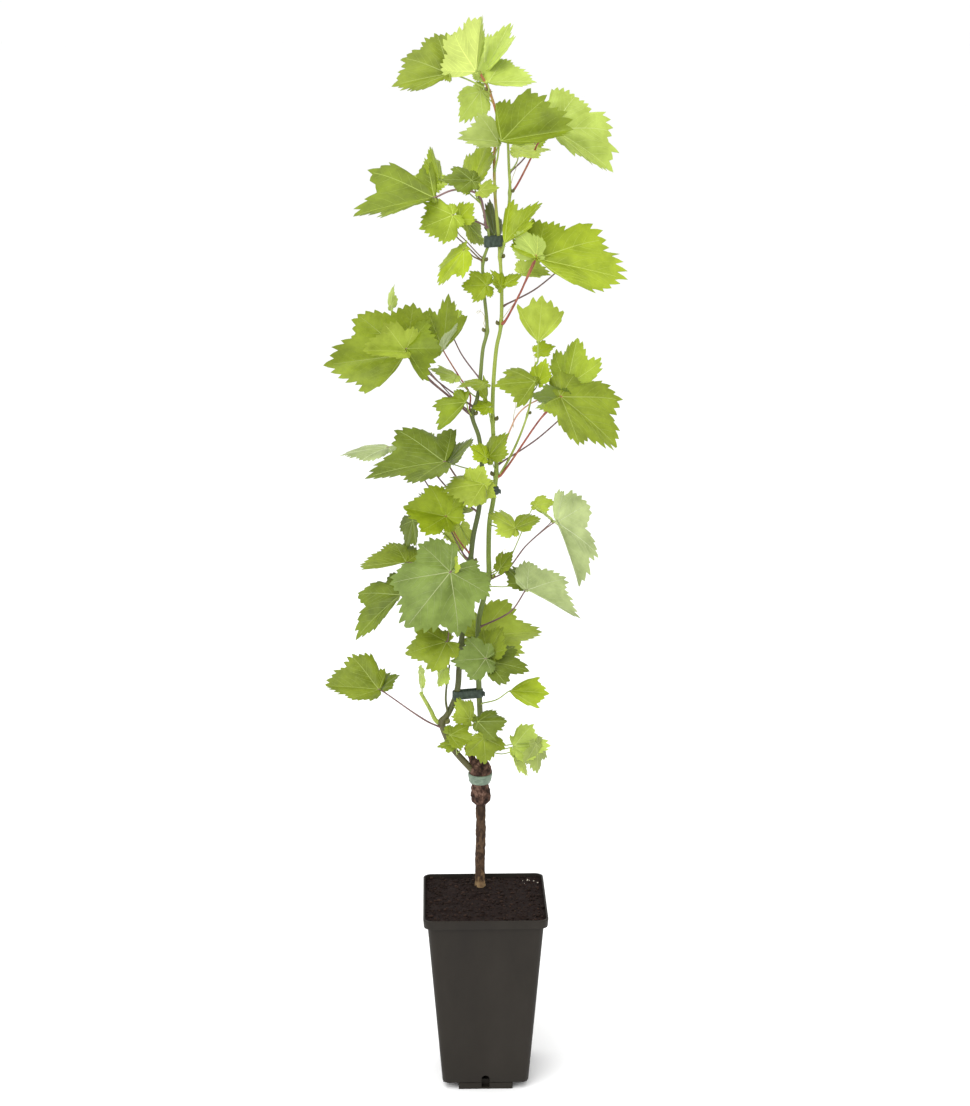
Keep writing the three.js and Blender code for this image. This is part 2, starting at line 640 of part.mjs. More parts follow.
// Every mass, with its blades cut round the limbs, the other masses' stalks and earlier blades.
function foliage(wideLimbs) {
  const all = MASSES.map((mass) => ({
    name: mass[0],
    stalks: stalks(mass, 0),
    wideStalks: stalks(mass, GAP),
    blades: joined(mass[3].map((row) => blade(row, 0))),
    wideBlades: joined(mass[3].map((row) => blade(row, GAP))),
  }));
  return all.map((mass, i) => {
    const tools = [
      ...wideLimbs,
      ...all.filter((other) => other !== mass).map((other) => other.wideStalks),
      ...all.slice(0, i).map((other) => other.wideBlades),
    ].filter((tool) => overlaps(mass.blades, tool));
    const trimmed = cutBy(mass.stalks, wideLimbs.filter((limb) => overlaps(mass.stalks, limb)));
    return [mass.name, biggest(trimmed.add(cutBy(mass.blades, tools)))];
  });
}

// ---- The plant ----------------------------------------------------------------------------------

const plant = new THREE.Group();
const wideGraft = graft(GAP);

const leftHeights = [386, 425, 661];
const rightHeights = [519, 806];
const leftNames = ['left_shoot_foot', 'left_shoot_bend', 'left_shoot_middle', 'left_shoot_top'];
const rightNames = ['right_shoot_lower', 'right_shoot_middle', 'right_shoot_top'];
const stepLength = 30;

plant.add(meshOf('pot', pot(), COLOURS.pot, 0.6));
plant.add(meshOf('soil', soil(), COLOURS.soil, 1));
plant.add(meshOf('rootstock', rootstock(), COLOURS.rootstock, 0.9));
plant.add(meshOf('graft_head', graft(), COLOURS.graft, 0.9));
plant.add(meshOf('graft_tape', tape(), COLOURS.tape, 0.5));

limbs(LEFT_SHOOT, leftHeights, stepLength).forEach((limb, i) => {
  plant.add(meshOf(leftNames[i], biggest(limb.subtract(wideGraft)), COLOURS.leftShoot));
});
limbs(RIGHT_SHOOT, rightHeights, stepLength).forEach((limb, i) => {
  plant.add(meshOf(rightNames[i], biggest(limb.subtract(wideGraft)), COLOURS.rightShoot));
});

const wideLeft = limbs(LEFT_SHOOT, leftHeights, stepLength, GAP);
const wideRight = limbs(RIGHT_SHOOT, rightHeights, stepLength, GAP);
const [sideShoot] = limbs(SIDE_SHOOT, [], stepLength);
const [stub] = limbs(STUB, [], stepLength);
plant.add(meshOf('side_shoot', biggest(cutBy(sideShoot, wideRight)), COLOURS.rightShoot));
plant.add(meshOf('cut_stub', biggest(cutBy(stub, wideLeft)), COLOURS.rightShoot));

const wideSides = [...limbs(SIDE_SHOOT, [], stepLength, GAP), ...limbs(STUB, [], stepLength, GAP)];
const wideShoots = [...wideLeft, ...wideRight, ...wideSides];
const ties = { low_tie: LOW_TIE, middle_tie: MIDDLE_TIE, high_tie: HIGH_TIE };
Object.entries(ties).forEach(([name, band]) => {
  plant.add(meshOf(name, biggest(cutBy(tie(band), wideShoots)), COLOURS.tie));
});

const tieRooms = Object.values(ties).map(tieRoom);
foliage([wideGraft, ...wideShoots, ...tieRooms]).forEach(([name, mass]) => {
  plant.add(meshOf(name, mass, COLOURS.leaves));
});

export default plant;
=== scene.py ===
"""The finished look of a young grafted grapevine in a deep square nursery pot.

Lengths are in millimetres from the centre of the pot's flat underside (right, back, up), and are
turned into the frame's metres where a mesh is made. Everything random is seeded.
"""

import math
import random
from collections import namedtuple

import bmesh
import bpy
import numpy as np
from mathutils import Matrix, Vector, noise


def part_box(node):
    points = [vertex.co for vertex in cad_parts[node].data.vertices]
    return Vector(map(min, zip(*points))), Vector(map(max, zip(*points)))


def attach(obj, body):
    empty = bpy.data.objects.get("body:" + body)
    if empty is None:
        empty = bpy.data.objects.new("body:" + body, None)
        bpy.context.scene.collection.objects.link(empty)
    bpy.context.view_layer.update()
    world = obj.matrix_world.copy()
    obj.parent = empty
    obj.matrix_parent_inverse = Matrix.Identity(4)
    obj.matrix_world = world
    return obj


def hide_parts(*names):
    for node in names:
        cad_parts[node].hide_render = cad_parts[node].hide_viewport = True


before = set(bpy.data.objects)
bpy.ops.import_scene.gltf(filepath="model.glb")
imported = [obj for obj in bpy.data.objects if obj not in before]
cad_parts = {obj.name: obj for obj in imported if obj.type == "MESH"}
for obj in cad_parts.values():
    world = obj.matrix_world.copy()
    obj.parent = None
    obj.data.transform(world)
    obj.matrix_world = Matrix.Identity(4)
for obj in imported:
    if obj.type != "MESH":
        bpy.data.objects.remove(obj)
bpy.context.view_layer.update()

MM = 0.001
SEED = 7
BODY = "root"

pot_low, pot_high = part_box("pot")
ORIGIN = np.array([(pot_low.x + pot_high.x) / 2, (pot_low.y + pot_high.y) / 2, pot_low.z])

# ---- Sizes ----

POT_HEIGHT = 200
POT_RIM_HALF = 65
POT_RIM_DRAFT = 0.6
POT_RIM_HEIGHT = 9.5
POT_TOP_HALF = 60.5  # the wall just under the rim band
POT_FOOT_HALF = 45.5  # the wall's lower end
POT_CORNER = 8
POT_WALL = 1.6
POT_FLOOR = 8
POT_LIFT = 6  # the wall starts this high, on the foot
POT_FOOT_WIDTH = 57
POT_ROUND = 0.9
POT_LIP = 2  # the rim's wall
POT_SHARP = 32  # edges over this many degrees stay sharp
CORNER_POINTS = 10
FOOT_OVERLAP = 0.8
SLOT_WEB = 1.4  # the foot runs on under a drain slot by this much
SLOT_WIDTH = 8.5
SLOT_HEIGHT = 16
SLOT_DEPTH = 7

SOIL_TOP = 196
SOIL_RELIEF = 1.7
SOIL_HUMPS = ((0.7, 17, 3.1), (0.5, 6, 8.2), (0.3, 2.3, 0))  # height, size and seed
SOIL_GAP = 0.1
SOIL_EDGE_DROP = 1.4
MOUND = 1.5  # the soil's rise round the trunk
MOUND_RADIUS = 13
CRUMBS = 950
CRUMBS_TOP = 199
CRUMB_AREA = 0.97  # as a share of the soil's half width
CRUMB_RINGS = 6
CRUMB_SIDES = 7
SMALL_CRUMBS = (0.5, 1.2)
LARGE_CRUMBS = (1.2, 2.4)
SHARE_SMALL = 0.8
SHARE_FIBRE = 0.3
PALE_GRAINS = 7

ROOTSTOCK = [(-4, 36, 192), (-4, 35.6, 205), (-3.4, 35, 250), (-3, 34, 293)]
ROOTSTOCK_RADIUS = 5.3
ROOT_FLARE = 0.5
ROOT_FLARE_HEIGHT = 8
GRAFT = [(-3, 34, 291.3), (-3.2, 33.5, 303), (-4, 33, 318), (-3, 32, 343)]
# Heights above the graft's foot, and the radius there.
GRAFT_PROFILE = [
    (0, 5.4), (4, 9.4), (11, 10.8), (18, 9.6), (22, 8.6), (27, 10.4), (35, 12), (42, 11.4), (47, 9.5),
    (50.5, 6.5), (52, 2.5),
]
PIT_ANGLE = 4.3  # a bud's scar in the graft's face
PIT_HEIGHT = 303.5
PIT_RADIUS = 2.4
SPUR = [(-9, 31, 334), (-13, 30.5, 346), (-17.5, 30, 358)]
SPUR_RADIUS = 3.9
LEFT_SHOOT = [
    (-12, 30, 331), (-33, 28, 357), (-42, 27, 376), (-44, 26, 386), (-38, 26, 395), (-30, 26, 413),
    (-27, 25, 428), (-26, 25, 445), (-22, 24, 489), (-16, 24, 538), (-11, 24, 587), (-5, 24, 617),
    (-2, 23, 661), (-5, 23, 691), (-12, 22, 715), (-7, 22, 731), (-4, 22, 750), (-1, 22, 782),
    (3, 22, 800), (0, 22, 841), (-1, 22, 869), (5, 22, 891), (0, 22, 919), (-6, 22, 936),
]
RIGHT_SHOOT = [
    (1, 31, 334), (0, 32, 355), (-3, 32, 380), (-5, 32, 420), (-6, 32, 460), (-5, 32, 497),
    (0, 32, 519), (5, 32, 542), (5, 32, 568), (6, 32, 601), (10, 32, 625), (13, 32, 661),
    (10, 32, 689), (9, 32, 715), (10, 32, 748), (13, 32, 782), (17, 32, 802), (18, 31, 841),
    (15, 31, 891), (11, 30, 940), (11, 30, 980), (14, 30, 996), (13, 30, 1012), (5, 29, 1037),
    (-4, 28, 1054),
]
SIDE_SHOOT = [(17, 31, 874), (21, 31, 892), (26, 31, 937), (25, 31, 962), (24, 30, 985)]
STUB = [(-44, 26, 383), (-51, 26, 389), (-56, 25, 400), (-66, 24, 419)]
LATERAL = [(17, 30, 652), (24, 30, 664), (34, 25, 686), (44, 18, 716), (49, 13, 744), (52, 12, 770)]
OLD_TWIG = [(-38, 24, 398), (-40, 20, 412), (-39, 17, 430), (-36, 15, 452)]

# Route, foot and tip radius, and the heights of the nodes.
SHOOTS = {
    "left": (LEFT_SHOOT, 3.5, 1.3, (386, 470, 561, 655, 716, 800, 871)),
    "right": (RIGHT_SHOOT, 3.2, 1.2, (378, 455, 542, 650, 708, 806, 873, 940, 990, 1036)),
    "side": (SIDE_SHOOT, 1.9, 1.2, (937,)),
    "stub": (STUB, 2.5, 1.9, ()),
    "lateral": (LATERAL, 1.3, 0.8, (716,)),
    "twig": (OLD_TWIG, 1.3, 0.9, ()),
}
NODE_SWELL = 0.42
NODE_LENGTH = 3.4

# Inner radius, and the two upright lines that a tie goes round. Its heights are the CAD's.
TIES = {
    "low_tie": (3.3, ((-28.8, 25.6), (-5, 32))),
    "middle_tie": (3.1, ((10.4, 32), (11.4, 32))),
    "high_tie": (3, ((4, 22), (15.2, 31))),
}
TIE_THICKNESS = 1
# A tie's section, as shares of its thickness outwards and of its height.
TIE_SECTION = (
    (0.15, 0.03), (0.6, 0), (1, 0.05), (1.04, 0.3), (0.96, 0.5), (1.04, 0.7), (1, 0.95), (0.6, 1),
    (0.15, 0.97), (0.05, 0.75), (0.05, 0.25),
)
TAPE_BOTTOM = 317
TAPE_TOP = 328
TAPE_LIFT = 0.45
TAPE_EDGE = 0.45
TAPE_LAP = 0.35

# Start, end, turns, width and foot radius of each tendril.
TENDRILS = [
    ((3, 22, 800), (-6, 15, 822), 1.2, 9, 0.4),
    ((30, 31, 700), (31, 28, 730), 0.4, 4, 0.4),
    ((48, 14, 741), (50, 15, 786), 0.8, 6, 0.35),
    ((26, 31, 940), (33, 27, 972), 0.5, 5, 0.35),
    ((17, 31, 808), (36, 22, 838), 0.4, 4, 0.35),
    ((6, 32, 545), (24, 20, 575), 0.9, 5, 0.4),
]

# ---- Leaves ----

# A blade: the CAD mass that it belongs to, its tint, where its stalk ends, the midrib's aim in the
# front view in degrees from rightwards, its lean towards the viewer, its roll about the midrib (0
# faces the viewer, 180 shows the underside), the fold along the midrib, its length, its outline (how
# deep the bays are, the size of the rear lobes on the upper and the lower side, and how far the
# lobes spread, if not SPREAD), the shoot and height that its stalk grows from and the stalk's colour
# if not green, its width, the angles at which its upper and its lower side end, and points that the
# stalk passes.
Leaf = namedtuple(
    "Leaf",
    "mass tint base aim lean roll fold length width bays upper lower spread end low_end shoot height "
    "stalk via",
)
SPREAD = 50


def leaf(mass, tint, base, aim, lean, roll, fold, length, outline, grows, width=0.9, end=180,
         low_end=180, via=()):
    bays, upper, lower, spread = (*outline, SPREAD)[:4]
    shoot, height, stalk = (*grows, "green")[:3]
    return Leaf("leaves_" + mass, tint, base, aim, lean, roll, fold, length, width, bays, upper, lower,
                spread, end, low_end, shoot, height, stalk, via)


OUTER_ROUTE = ((49, 27, 976), (53, 24, 985))
LEFT_HIGH_ROUTE = ((0, 17, 919), (-6, 11, 937), (-29, 6, 942))
LEFT_FAN_ROUTE = ((-37, 23, 735), (-57, 24, 752))
LEFT_FRONT_ROUTE = ((-37, 17, 737), (-57, 6, 757))
INNER_ROUTE = ((-14, 25, 735), (-26, 27, 755))
RIGHT_BACK_ROUTE = ((27, 30, 698), (34, 28, 713), (45, 26, 724))
BLUE_ROUTE = ((23, 23, 551), (44, 14, 581))

LEAVES = [
    leaf("tip_left", "mid_low", (-34, 20, 1053), 190, 5, 48, 32, 54, (.12, 1.25, .5, 32),
         ("right", 1036), 1.05, low_end=110, via=((-18, 24, 1048),)),
    leaf("tip", "painted_glow", (-8, 20, 1055), 86, 0, 140, 42, 52, (.05, 1.1, .3, 38),
         ("right", 1052), 1, end=122),
    leaf("tip", "pale", (1, 40, 1053), 63, -15, 66, 8, 55, (.22, .6, .2, 36), ("right", 1050), .95),
    leaf("tip_right", "pale", (4, 25, 1044), 5, 15, 60, 12, 45, (.2, .5, .2, 70),
         ("right", 1033), low_end=45),
    leaf("tip_left", "pale", (-3, 40, 1035), 232, 0, 30, -5, 34, (.22, .7, .7), ("right", 1024), .8),
    leaf("high_left", "frost", (14, 10, 988), 172, 10, 48, 35, 39, (.19, .9, .2), ("right", 972), .96),
    leaf("high_right", "deep", (16, -10, 990), 12, 20, 48, 38, 70, (.05, .9, .1, 36),
         ("right", 958), .95, end=112),
    leaf("high_outer", "pale", (67, 20, 1000), 330, 10, 52, 32, 68, (.06, 1.05, .3, 34),
         ("side", 937, "red"), 1, low_end=85, via=OUTER_ROUTE),
    leaf("side_tip", "painted_glow", (36, 30, 978), 5, 0, 75, 0, 30, (.26, 1, 1), ("side", 958)),
    leaf("left_high", "deep", (-49, 0, 935), 189, 5, 62, 28, 80, (.24, .75, .3, 36),
         ("left", 903, "purple"), 1.15, end=122, via=LEFT_HIGH_ROUTE),
    leaf("left_high", "mid", (-45, 30, 951), 104, -10, 68, -5, 32, (.26, .5, .5),
         ("left", 928), via=((-24, 26, 944),)),
    leaf("high_inner", "deep_low", (-12, 20, 950), 176, 10, 52, 5, 30, (.26, .8, .8), ("left", 930)),
    leaf("high_inner", "fresh", (-10, 45, 945), 73, -15, 66, 8, 48, (.22, .7, .3), ("left", 932), .95),
    leaf("high_inner", "lime", (-4, 10, 941), 10, 20, 50, 5, 19, (.26, .8, .8), ("left", 926)),
    leaf("left_bright", "mid", (-31, 0, 918), 200, 20, 15, -5, 35, (.17, .6, .7),
         ("left", 871, "dark"), via=((-17, 15, 886), (-31, 7, 901))),
    leaf("left_bright", "fresh", (-25, 10, 913), 50, 10, 40, -5, 21, (.19, .6, .7),
         ("left", 873, "dark"), via=((-16, 16, 889), (-27, 11, 902))),
    leaf("upper_dark", "painted_glow", (-15, 50, 904), 310, -15, 60, 0, 27, (.19, .8, .8), ("left", 888)),
    leaf("upper_dark", "dark", (11, 50, 893), 92, -20, 62, 0, 36, (.19, .6, .6), ("right", 880), .8),
    leaf("left_upper", "fresh", (-20, 0, 884), 230, 15, 60, -5, 43, (.22, .6, .3),
         ("left", 870, "dark"), .75),
    leaf("left_upper", "fresh", (2, 10, 848), 180, 15, 25, 0, 25, (.26, 1, .9), ("left", 838)),
    leaf("right_knot", "fresh", (20, 10, 889), 52, 5, 55, 25, 54, (.3, .1, .1, 42),
         ("right", 873), .8, end=76),
    leaf("right_upper", "fresh", (51, -10, 876), 350, 10, 52, 14, 85, (.08, .95, .1, 38),
         ("right", 806, "red"), low_end=54, via=((36, 12, 840),)),
    leaf("right_upper", "mid", (51, -8, 879), 125, 0, 140, -5, 30, (.11, .6, .3),
         ("right", 806, "red"), via=((36, 12, 840),)),
    leaf("right_knot", "painted_glow", (40, 25, 857), 0, 0, 45, 45, 26, (.22, 1, .3), ("right", 842), .97),
    leaf("right_knot", "fresh", (16, 5, 847), 115, 10, 55, 15, 18, (.22, .8, .8), ("right", 840)),
    leaf("right_knot", "fresh", (21, 5, 849), 35, 0, 65, 5, 18, (.22, .5, .5), ("right", 842)),
    leaf("right_fan", "lime", (54, 10, 791), 85, 0, 0, 0, 43, (.09, 0, 0, 31),
         ("lateral", 768), 1.15, end=58, low_end=58),
    leaf("left_middle", "mid_low", (-80, 25, 776), 187, 0, 15, 30, 77, (.24, 1.2, .1, 52),
         ("left", 716, "purple"), .95, low_end=68, via=LEFT_FAN_ROUTE),
    leaf("left_middle", "deep", (-78, -5, 787), 5, 20, 20, -20, 34, (.22, .8, .6),
         ("left", 718, "purple"), 1.36, low_end=85, via=LEFT_FRONT_ROUTE),
    leaf("left_middle", "lime", (-78, -5, 784), 175, 20, 45, 45, 44, (.15, 1, .2),
         ("left", 718, "purple"), via=LEFT_FRONT_ROUTE),
    leaf("middle_inner", "mid_low", (-41, 30, 781), 84, -5, 20, -20, 52, (.3, .5, .5, 34),
         ("left", 718, "red"), 1, low_end=52, via=INNER_ROUTE),
    leaf("middle_inner", "painted_sheen", (-41, 20, 783), 65, 0, 110, 5, 29, (.15, .3, .3),
         ("left", 718, "red"), via=INNER_ROUTE),
    leaf("left_middle", "pale", (-94, 50, 821), 85, 0, 70, 0, 21, (.15, .6, .6),
         ("left", 716, "purple"), via=((-37, 27, 738), (-66, 37, 772))),
    leaf("middle_bright", "pale", (-29, 20, 755), 160, 10, 75, 0, 27, (.26, .6, .6), ("left", 733)),
    leaf("middle_bright", "mid_low", (0, 10, 749), 180, 20, 80, 0, 27, (.26, .6, .6), ("left", 742)),
    leaf("middle_bright", "deep", (-19, 0, 732), 222, 15, 20, 0, 38, (.22, .75, .2, 40),
         ("left", 714), low_end=28),
    leaf("middle_bright", "fresh", (4, 15, 724), 180, 15, 50, 0, 16, (.26, .9, .9), ("right", 706)),
    leaf("middle_bright", "fresh", (2, 20, 733), 95, 0, 70, -5, 21, (.26, .6, .6), ("right", 708)),
    leaf("right_fan", "fresh", (55, 30, 778), 20, 0, 45, 10, 17, (.26, .9, .9), ("lateral", 765)),
    leaf("right_fan", "mid_low", (50, -10, 754), 180, 15, 55, -5, 41, (.22, .4, .25),
         ("lateral", 738), low_end=85),
    leaf("right_fan", "fresh", (54, 0, 752), 75, 0, 50, 0, 23, (.22, .6, .6), ("lateral", 738)),
    leaf("right_middle", "mid", (84, 25, 743), 78, -10, 25, -25, 50, (.28, .8, 1.1, 42),
         ("right", 668, "pink"), .96, via=RIGHT_BACK_ROUTE),
    leaf("right_lower", "mid_low", (76, -5, 738), 323, 15, 50, 16, 74, (.19, .8, 1, 44),
         ("right", 648, "red"), low_end=115, via=((56, 13, 711),)),
    leaf("right_lower", "dark", (76, 8, 734), 170, 0, 130, 10, 31, (.21, 1, 1),
         ("right", 648, "red"), via=((56, 15, 710),)),
    leaf("left_dark", "deep", (-40, 0, 671), 184, 10, 70, 20, 78, (.27, 1.05, .35, 54),
         ("left", 621, "purple"), end=136, via=((-29, 11, 654),)),
    leaf("left_strip", "painted_sheen", (-98, 34, 679), 185, 0, 87, 0, 47, (.08, .6, .6),
         ("left", 563, "purple"), .75, via=((-42, 29, 609), (-63, 34, 648))),
    leaf("inner_dark", "deep", (-35, 20, 667), 45, 0, 80, 5, 33, (.11, .5, .5), ("left", 655)),
    leaf("inner_dark", "fresh", (1, 10, 674), 140, 5, 50, 5, 19, (.22, .8, .8), ("left", 668)),
    leaf("right_middle", "mid", (5, 15, 673), 55, 5, 60, 0, 30, (.22, .6, .6), ("right", 655)),
    leaf("centre_bright", "lime", (-1, -10, 650), 180, 20, 65, -10, 42, (.19, .8, .3), ("left", 636)),
    leaf("centre_bright", "lime", (-11, -5, 647), 65, 5, 25, 5, 23, (.22, .8, .8), ("left", 636)),
    leaf("centre_bright", "lime", (-5, -5, 646), 330, 10, 40, 5, 19, (.22, .6, .6), ("left", 636)),
    leaf("left_green", "fresh", (-39, 15, 611), 165, 5, 30, 30, 44, (.21, 1, .8),
         ("left", 570, "red"), .98, via=((-29, 15, 591),)),
    leaf("left_green", "fresh", (-39, 15, 611), 45, 0, 10, 10, 23, (.19, 1, .8),
         ("left", 570, "red"), .95, via=((-29, 15, 591),)),
    leaf("left_green", "painted_glow", (-24, 34, 596), 265, 0, 20, 5, 27, (.2, .7, .7), ("left", 578)),
    leaf("left_behind", "deep", (-73, 45, 600), 255, -10, 60, 5, 33, (.22, .6, .6),
         ("left", 561), via=((-45, 40, 590),)),
    leaf("centre_big", "blue", (-35, -30, 564), 228, 22, 20, -20, 72, (.2, 1.05, 1, 46),
         ("left", 550, "purple"), 1.02, via=((-22, 0, 562),)),
    leaf("centre_big", "lime", (-33, -25, 563), 75, 0, 60, 0, 17, (.22, .5, .5),
         ("left", 550), via=((-22, 0, 560),)),
    leaf("left_behind", "mid", (-80, 25, 560), 180, 5, 66, 0, 47, (.26, .9, .1, 75),
         ("left", 538, "purple"), low_end=32, via=((-50, 26, 556),)),
    leaf("left_low", "deep", (-86, 20, 527), 218, 10, 65, 25, 62, (.32, .9, .1),
         ("left", 506, "purple"), low_end=55, via=((-50, 22, 520),)),
    leaf("low_bright", "mid_low", (-39, -10, 485), 190, 15, 40, -5, 43, (.22, .6, .8),
         ("left", 535, "purple"), via=((-34, 2, 518),)),
    leaf("stub", "pale", (-42, 15, 447), 250, 0, 60, -5, 19, (.19, .8, .8), ("twig", 440)),
    leaf("stub", "pale", (-65, 10, 447), 265, 0, 75, 0, 21, (.19, .8, .8), ("stub", 414)),
    leaf("lower_left", "mid_low", (-109, 0, 431), 172, 5, 62, 31, 55, (.12, .8, .25),
         ("left", 381, "purple"), end=125, via=((-62, 13, 393),)),
    leaf("lower_left", "deep", (-107, 10, 430), 40, 0, 70, 10, 23, (.22, .9, .4),
         ("left", 381, "purple"), via=((-62, 15, 393),)),
    leaf("right_blue", "lime", (52, 20, 621), 10, 0, 60, 5, 21, (.26, .6, .6),
         ("right", 545), via=((24, 26, 560), (40, 22, 595))),
    leaf("right_blue", "pale", (69, 10, 608), 135, 0, 105, 0, 23, (.26, .5, .5),
         ("right", 540, "purple"), via=BLUE_ROUTE),
    leaf("right_blue", "painted_sheen", (74, 0, 608), 293, 10, 55, 30, 70, (.19, 1.2, .05, 40),
         ("right", 540, "purple"), .8, low_end=46, via=BLUE_ROUTE),
    leaf("moustache", "lime", (31, 0, 602), 145, 10, 65, -5, 30, (.21, .4, .6), ("right", 596)),
    leaf("moustache", "mid", (31, 0, 602), 25, 10, 65, 0, 28, (.21, .4, .1), ("right", 596), low_end=62),
    leaf("right_pale", "mid", (17, 20, 555), 55, 0, 55, 10, 21, (.22, .8, .8), ("right", 542)),
    leaf("right_pale", "deep", (39, 20, 539), 135, 5, 60, 0, 24, (.22, .8, .8), ("right", 530)),
    leaf("right_pale", "painted_sheen", (44, 10, 534), 335, 5, 66, 22, 58, (.2, 1, .05),
         ("right", 488, "purple"), low_end=36, via=((28, 22, 508),)),
    leaf("low_right", "lime", (-4, 45, 474), 5, -5, 60, 15, 66, (.27, .9, .9), ("right", 462)),
    leaf("low_centre", "blue", (1, -11, 467), 180, 10, 20, 20, 34, (.22, .8, .8),
         ("right", 450, "purple"), .98),
    leaf("low_centre", "deep", (3, -2, 461), 355, 10, 56, 5, 43, (.3, 1, .6), ("right", 448)),
    leaf("low_centre", "mid_low", (4, 5, 467), 65, 5, 45, 10, 32, (.22, .8, .8), ("right", 452)),
    leaf("low_centre", "fresh", (27, 5, 427), 0, 5, 50, 0, 38, (.09, 0, 0, 32),
         ("right", 404), 1, end=57, low_end=57),
    leaf("graft_left", "lime", (-15, 10, 395), 120, 0, 45, -5, 25, (.22, .8, .8),
         ("left", 352), via=((-20, 18, 372),)),
    leaf("graft_left", "mid", (-36, -10, 384), 350, 10, 62, 10, 27, (.22, .9, .4), ("left", 356)),
    leaf("graft_middle", "deep", (-7, -5, 397), 5, 10, 45, -25, 30, (.22, .6, .6), ("right", 376)),
    leaf("graft_middle", "mid", (-1, -10, 381), 275, 10, 30, 5, 27, (.26, .7, .7), ("right", 366), 1.3),
    leaf("graft_left", "mid", (-30, 0, 371), 185, 0, 68, 5, 18, (.26, .5, .5), ("left", 350)),
    leaf("graft_right", "pale", (31, 10, 364), 5, 5, 45, 25, 37, (.22, .6, .6), ("right", 352), end=130),
    leaf("graft_right", "frost", (54, 0, 370), 275, 10, 50, -5, 30, (.26, .8, .6),
         ("right", 352), via=((26, 16, 364),)),
    leaf("graft_right", "painted_glow", (32, 10, 358), 300, 0, 75, 0, 29, (.26, .8, .8), ("right", 350)),
]

# Leaves on the far side of the crown, which the near ones hide from the front: the mass, where the
# stalk ends, the aim, the length, and the shoot and height that the stalk grows from.
BACK_LEAVES = [
    ("left_high", (-60, 66, 940), 150, 52, "left", 903),
    ("right_upper", (85, 66, 862), 28, 52, "right", 822),
    ("high_outer", (52, 66, 982), 60, 50, "side", 956),
    ("left_middle", (-84, 68, 780), 150, 54, "left", 722),
    ("middle_inner", (-38, 70, 800), 180, 42, "left", 752),
    ("right_middle", (98, 66, 722), 175, 54, "right", 660),
    ("left_dark", (-64, 68, 660), 180, 54, "left", 612),
    ("left_green", (-36, 68, 602), 150, 52, "left", 566),
    ("left_low", (-58, 66, 530), 170, 54, "left", 508),
    ("low_bright", (-45, 72, 503), 32, 56, "left", 478),
]
for spot, base, aim, length, shoot, height in BACK_LEAVES:
    grows = (shoot, height, "purple")
    LEAVES.append(leaf(spot, "mid", base, aim, -58, 60, 11, length, (.27, .9, .8), grows))

# The lobes from the midrib's outwards: reach as a share of the length, half width, and how far
# past the second lobe each lies. The first and second widen with the spread.
LOBES = [(1, 0.55, 0), (0.88, 0.5, 0), (0.64, 28, 53), (0.42, 26, 98)]
FADE_END = 2.3
FADE_LENGTH = 1.2
HEART = 24
LOBE_ROUND = 1.2  # over 1 for round lobes, under 1 for pointed ones
LEAST_REACH = 0.04
DROOP = 0.05
QUILTING = 0.045  # the swell of the blade between its main veins
BLADE_HALF = 0.16  # half a blade's thickness
LARGE = 44  # blades over this length have the finest mesh
SMALL = 25  # and those under this one the plainest
TOOTH = (1, 0.6, 0)  # a tooth's points, from its tip to the notch
TEETH_FROM = 0.72  # the teeth start this far out
VEIN_WIDTH = 0.35  # a main vein's width, which grows with the blade's length
VEIN_LEAST = 0.15  # a shorter main vein is left out
VEIN_ANGLE = 48  # a side vein's, off the main vein
VEIN_STEP = 0.075
VEIN_BEND = 0.09
VEIN_END = 0.93  # how near the edge a side vein comes
FINE_WIDTH = 0.36  # a side vein's width as a share of the main vein's, on the upper face
UNDER_WIDTH = 0.5  # and on the underside

# Tints: the upper face's two mottle colours, the underside and the veins. They are partly lit and shaded
# copies of one green, which is painted light and shade: each leaf takes a lighter or darker tint by how lit
# it looks.
TINTS = {
    "dark": ((66, 76, 2), (80, 90, 6), (116, 134, 54), (112, 130, 46)),
    "deep": ((98, 114, 6), (114, 131, 17), (138, 157, 66), (144, 161, 57)),
    "deep_low": ((86, 101, 19), (103, 118, 32), (130, 147, 78), (147, 162, 84)),
    "mid": ((139, 158, 36), (156, 175, 49), (160, 178, 86), (186, 201, 94)),
    "mid_low": ((108, 123, 23), (125, 140, 36), (140, 155, 76), (153, 167, 81)),
    "fresh": ((131, 149, 22), (146, 163, 32), (155, 172, 77), (170, 185, 75)),
    # partly painted back light: a brighter green for blades lit from behind
    "lime": ((137, 152, 44), (152, 168, 58), (158, 174, 79), (174, 187, 85)),
    # painted light: a bright copy for blades with light shining through them, and for some that stand in
    # shade
    "painted_glow": ((166, 182, 72), (184, 200, 88), (176, 190, 98), (200, 214, 112)),
    # partly painted light: a bright copy for blades at the shoot tips that light shines through
    "pale": ((150, 168, 66), (166, 184, 84), (158, 176, 92), (184, 198, 114)),
    "blue": ((92, 109, 43), (109, 127, 58), (127, 142, 85), (152, 162, 109)),
    "frost": ((136, 151, 71), (151, 166, 84), (149, 164, 97), (170, 181, 115)),
    # painted sheen: a pale grey copy for blades that catch the light at a glancing angle
    "painted_sheen": ((143, 157, 101), (161, 174, 117), (159, 172, 121), (186, 196, 152)),
}
LOWER_CROWN = 690  # below this height, deep and mid leaves take darker copies of their tints
VARIANTS = 2
VARIETY = 0.03  # how far a variant is lighter or darker than its tint
FINE_VEIN = 0.55  # how far a side vein's colour goes from the blade's to the main vein's

